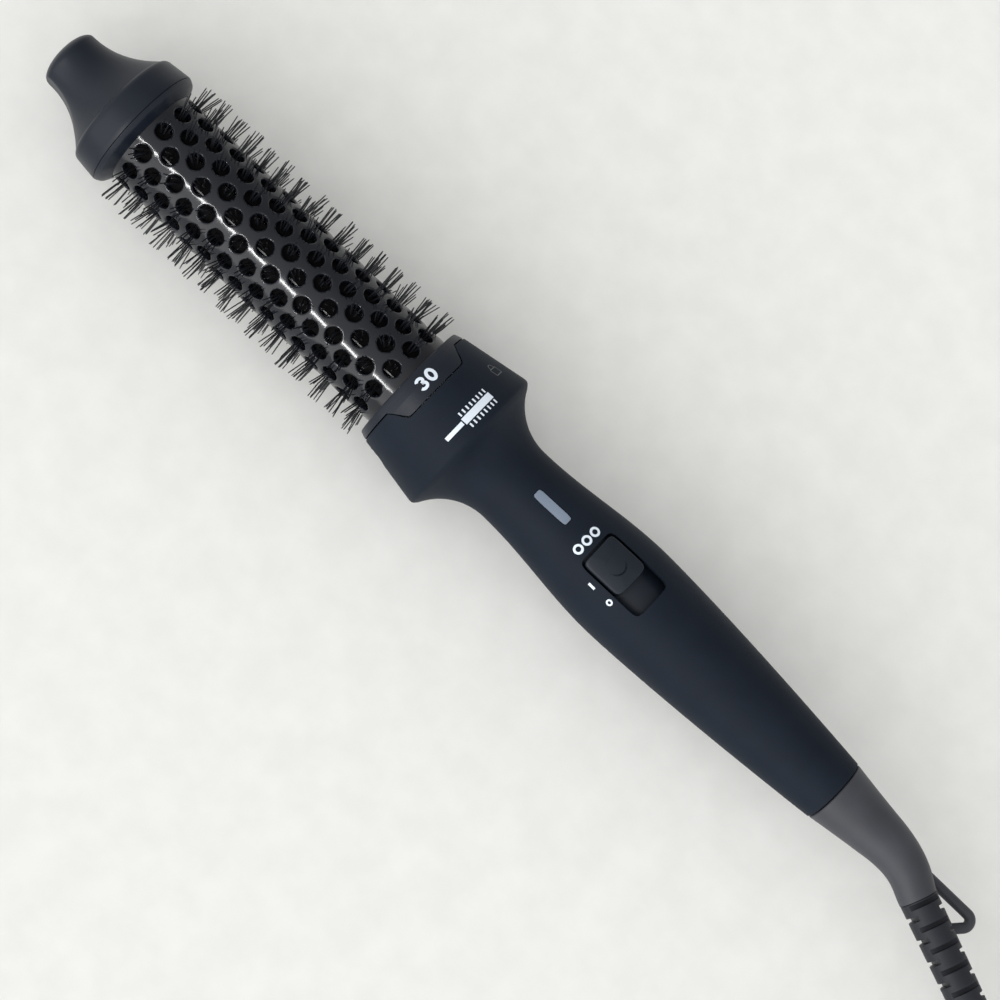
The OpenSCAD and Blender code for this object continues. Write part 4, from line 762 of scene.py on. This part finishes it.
# Cool tip: the hollow end that the other hand holds, in the same satin grey. A flange guards the hot
# barrel, and two flats give the fingers a grip on its neck. A separate ring joins it to the barrel.
flange_rear, flare_rear, round_rear = 103.45, 111.85, 130.45
tip_end_r, flare_r, flange_r, round_len, flare_len = 9.1, 17.25, 19.15, 3.5, 18.6
flat_half, flat_r, flat_edge = 8.5, 22.2, 0.25
tip_points, flare_parts = 180, 30
tip_line = [(flange_rear, 12), (flange_rear, 18.95)]
tip_line += [(flange_rear + 0.08, 19.1), (flange_rear + 0.3, flange_r)]
tip_line += [(flange_rear + 0.4 + 6.3 * k / 6, flange_r - 0.72 * k / 6) for k in range(1, 7)]
flange_edge = [(110.3, 18.4), (110.9, 18.25), (111.5, 17.85), (flare_rear, flare_r), (112.2, 16.9)]
tip_line += softened(flange_edge)[1:-1]
for k in range(flare_parts - 1, 0, -1):
    t = k / flare_parts
    tip_line.append((round_rear - flare_len * t, tip_end_r + (flare_r - tip_end_r) * t**2.2))
for k in range(90, 2, -4):
    a = math.radians(k)
    tip_line.append((round_rear + round_len * math.cos(a), tip_end_r * math.sin(a) ** 0.85))
tip_rings = []
for x, r in tip_line:
    ahead = x - round_rear
    limit = flat_half + flat_r - math.sqrt(max(0, flat_r**2 - ahead**2)) if x > flare_rear - 1.2 else math.inf
    ring = []
    for k in range(tip_points):
        a = math.tau * k / tip_points
        y, z = r * math.sin(a), r * math.cos(a)
        over = (abs(y) - limit) / flat_edge
        if over > -1:
            y = math.copysign(limit - flat_edge * (1 - over) ** 2 / 4 if over < 1 else limit, y)
        ring.append(at(brush_place, x, y, z))
    tip_rings.append(ring)
tip = skinned("tip", tip_rings, satin_grey)
fitted(tip, "brush_head", "satin_grey", "cool_tip", crease=32)
ring_outline = [(100.15, 15.05), (100.35, 15.5), (101.6, 17.7), (101.8, 18.05), (102.0, 18.3), (102.25, 18.5)]
ring_outline += [(103.15, 18.98), (103.33, 18.96), (103.38, 18.86), (103.38, 15.05)]
tip_ring = turned("guard_ring", ring_outline, satin_grey, brush_place, steps=128)
fitted(tip_ring, "brush_head", "satin_grey", "tip_ring", crease=32)

# Barrel: a thin steel tube with 24 staggered rows of holes, each pressed a little inwards, under a
# glossy black ceramic coat. One row sits a little off the even pattern, as on the real tube.
ceramic_black = finish(
    "ceramic_black", (0.005, 0.0062, 0.0105), (0.0078, 0.009, 0.0145), 1500, 0.11, 0.04, specular=0.37
)
barrel_r, barrel_rear, barrel_front = 15, 0.8, 101.15
hole_r, hole_pitch, first_hole, holes_in_row = 2.4, 11.85, 7.35, 8
rows, row_angle, row_turn = 24, math.radians(15), math.radians(-6.3)
row_arc = barrel_r * row_angle
row_shift, cell_slant, side_parts = -0.75, 1.24, 5
near, far = hole_pitch / 4 - cell_slant, hole_pitch / 4 + cell_slant
corners = [(far, 0), (near, row_arc), (-near, row_arc), (-far, 0), (-near, -row_arc), (near, -row_arc)]
cell = []
for (a, b), (c, d) in zip(corners, corners[1:] + corners[:1]):
    cell += [(a + (c - a) * k / side_parts, b + (d - b) * k / side_parts) for k in range(side_parts)]
pressed = [(3.08, 0), (2.92, -0.01), (2.74, -0.05), (2.58, -0.14), (2.46, -0.3)]
pressed += [(hole_r, -0.6), (hole_r, -1.3)]
barrel_mesh = bmesh.new()


def on_barrel(u, arc, depth):
    """A corner of the barrel's skin, along the axis, round it and above its radius, in mm."""
    a = arc / barrel_r + row_turn
    r = barrel_r + depth
    return barrel_mesh.verts.new(at(brush_place, u, -r * math.sin(a), r * math.cos(a)))


for row in range(rows):
    for k in range(-2, 11):
        u = first_hole + (k + row % 2 / 2) * hole_pitch
        arc = (row - 0.5) * row_arc
        loops = [[on_barrel(u + x, arc + y, 0) for x, y in cell]]
        if 0 <= k < holes_in_row:
            shift = row_shift if row == rows - 1 else 0
            share = [pressed[0][0] / math.hypot(x, y) for x, y in cell]
            for t in (0.3, 0.6, 0.85):
                loops.append([
                    on_barrel(u + x + (x * s - x) * t, arc + y + (y * s - y + shift) * t, 0)
                    for (x, y), s in zip(cell, share)
                ])
            for r, depth in pressed:
                share = [r / math.hypot(x, y) for x, y in cell]
                loops.append([
                    on_barrel(u + x * s, arc + y * s + shift, depth) for (x, y), s in zip(cell, share)
                ])
        else:
            middle = [[on_barrel(u + x * s, arc + y * s, 0) for x, y in cell] for s in (0.66, 0.33)]
            loops += middle
            barrel_mesh.faces.new(middle[-1])
        for outer, inner in zip(loops, loops[1:]):
            for i in range(len(cell)):
                barrel_mesh.faces.new((outer[i - 1], outer[i], inner[i], inner[i - 1]))
bmesh.ops.remove_doubles(barrel_mesh, verts=barrel_mesh.verts, dist=0.01 * MM)
for end, way in ((barrel_rear, -1), (barrel_front, 1)):
    bmesh.ops.bisect_plane(
        barrel_mesh,
        geom=barrel_mesh.verts[:] + barrel_mesh.edges[:] + barrel_mesh.faces[:],
        plane_co=at(brush_place, end, 0, 0),
        plane_no=(way, 0, 0),
        clear_outer=True,
    )
barrel = new_piece("barrel_tube", barrel_mesh, ceramic_black)
fitted(barrel, "brush_head", "barrel_black", "barrel", crease=60)

# Bristles: tufts of black nylon, set in a bar under each pair of rows. They come out through the holes
# and keep the hair off the barrel.
nylon_black = finish(
    "nylon_black", (0.006, 0.007, 0.01), (0.01, 0.011, 0.015), 3000, 0.35, 0.1, specular=0.35
)
strip_black = finish(
    "strip_black", (0.0025, 0.0025, 0.003), (0.004, 0.004, 0.0045), 1200, 0.85, 0.2, specular=0.08
)
strips, tuft, tip_r, root_r, root_reach = 12, 5, 21.7, 12.6, 0.75
bristle_r, bristle_sides = 0.2, 5
strip_rear, strip_front, strip_w, strip_t, strip_top = 3.65, 101.4, 5.6, 1.5, 12.8
chance = random.Random(7)
for strip in range(strips):
    bar_turn = Matrix.Rotation(math.tau * strip / strips + row_turn, 4, "X")
    bar_size = (strip_front - strip_rear, strip_w, strip_t)
    bar_middle = ((strip_front + strip_rear) / 2, 0, strip_top - strip_t / 2)
    strip_mesh = bmesh.new()
    bar = bmesh.ops.create_cube(strip_mesh, size=1)["verts"]
    for v in bar:
        v.co = at(brush_place @ bar_turn, *(m + c * s for m, c, s in zip(bar_middle, v.co, bar_size)))
    for odd in (0, 1):
        for k in range(holes_in_row):
            u = first_hole + (k + odd / 2) * hole_pitch
            a = (odd - 0.5) * row_angle
            out, side = Vector((0, -math.sin(a), math.cos(a))), Vector((0, -math.cos(a), -math.sin(a)))
            tuft_lean, tuft_side = chance.gauss(0, 0.75), chance.gauss(0, 0.5)
            for n in range(tuft):
                spread = math.tau * (n + chance.random() * 0.6) / tuft
                root = Vector((u + root_reach * math.cos(spread), 0, 0)) + root_r * out
                root += root_reach * math.sin(spread) * side
                lean_u = tuft_lean + math.cos(spread) * 0.55 + chance.gauss(0, 0.4)
                lean_side = tuft_side + math.sin(spread) * 0.45 + chance.gauss(0, 0.35)
                top = Vector((root.x + lean_u, 0, 0)) + (tip_r - abs(chance.gauss(0, 0.45))) * out
                top += (root_reach * math.sin(spread) + lean_side) * side
                bow = Vector((chance.gauss(0, 0.12), 0, 0)) + chance.gauss(0, 0.12) * side
                rings = []
                for share, thick in ((0, 1), (0.5, 1), (0.96, 0.85), (1, 0.5)):
                    middle = root.lerp(top, share) + bow * math.sin(math.pi * share)
                    ring = []
                    for i in range(bristle_sides):
                        a = math.tau * i / bristle_sides
                        reach = bristle_r * thick * (math.cos(a) * Vector((1, 0, 0)) + math.sin(a) * side)
                        ring.append(strip_mesh.verts.new(at(brush_place @ bar_turn, *(middle + reach))))
                    rings.append(ring)
                for low, high in zip(rings, rings[1:]):
                    for i in range(bristle_sides):
                        strip_mesh.faces.new((low[i - 1], low[i], high[i], high[i - 1]))
                strip_mesh.faces.new(rings[-1])
    for face in strip_mesh.faces:
        face.material_index = 0 if face.calc_area() > 5 * MM**2 else 1
    bristles = new_piece(f"bristles_{strip + 1:02d}", strip_mesh, strip_black)
    bristles.data.materials.append(nylon_black)
    fitted(bristles, "brush_head", "bristle_nylon", f"bristle_strip_{strip + 1:02d}")

# Inner parts, most of them out of sight: hubs and sockets of pale heat-proof plastic, the heater with
# its ceramic stones and amber film, the wires, the green circuit board, and plated screws and springs.
hub_plastic = finish("hub_plastic", (0.6, 0.59, 0.55), (0.68, 0.67, 0.63), 1200, 0.5, 0.2)
heater_metal = finish("heater_metal", (0.66, 0.67, 0.69), (0.76, 0.77, 0.79), 1600, 0.35, 0.3, metal=1.0)
stone_grey = finish("stone_grey", (0.16, 0.15, 0.15), (0.24, 0.23, 0.22), 800, 0.75, 0.5)
amber_film = finish("amber_film", (0.5, 0.28, 0.06), (0.62, 0.38, 0.1), 700, 0.2, 0.1)
zinc_plate = finish("zinc_plate", (0.58, 0.59, 0.61), (0.7, 0.71, 0.73), 1800, 0.3, 0.2, metal=1.0)
fuse_metal = finish("fuse_metal", (0.7, 0.7, 0.71), (0.8, 0.8, 0.8), 1400, 0.25, 0.1, metal=1.0)
lead_red = finish("lead_red", (0.42, 0.045, 0.035), (0.52, 0.065, 0.05), 900, 0.55, 0.2)
contact_brass = finish("contact_brass", (0.68, 0.52, 0.25), (0.8, 0.64, 0.35), 1500, 0.28, 0.15, metal=1.0)
inner_black = finish("inner_black", (0.02, 0.02, 0.022), (0.032, 0.032, 0.034), 1500, 0.5, 0.25)
board_green = finish("board_green", (0.022, 0.13, 0.045), (0.035, 0.18, 0.07), 500, 0.3, 0.2)
led_clear = finish("led_clear", (0.72, 0.72, 0.68), (0.84, 0.84, 0.8), 600, 0.15, 0.05)
inner_parts = [
    (hub_plastic, "front_hub", "rear_hub", "contact_plug", "head_socket", "swivel_cup"),
    (heater_metal, "heater_core", "electrode_plates"),
    (stone_grey, "ptc_heaters"),
    (amber_film, "heater_insulation"),
    (zinc_plate, "tie_rod", "shell_screws", "board_screws", "release_spring", "spindle_clip", "thermostat"),
    (fuse_metal, "thermal_fuse"),
    (lead_red, "lead_wires", "handle_wires"),
    (contact_brass, "contact_pins", "contact_sockets", "swivel_contacts", "slip_rings"),
    (inner_black, "switch_body", "switch_actuator", "ion_generator", "swivel_spindle"),
    (board_green, "circuit_board"),
    (led_clear, "indicator_led"),
]
for material, *names in inner_parts:
    for name in names:
        dress(name, material)
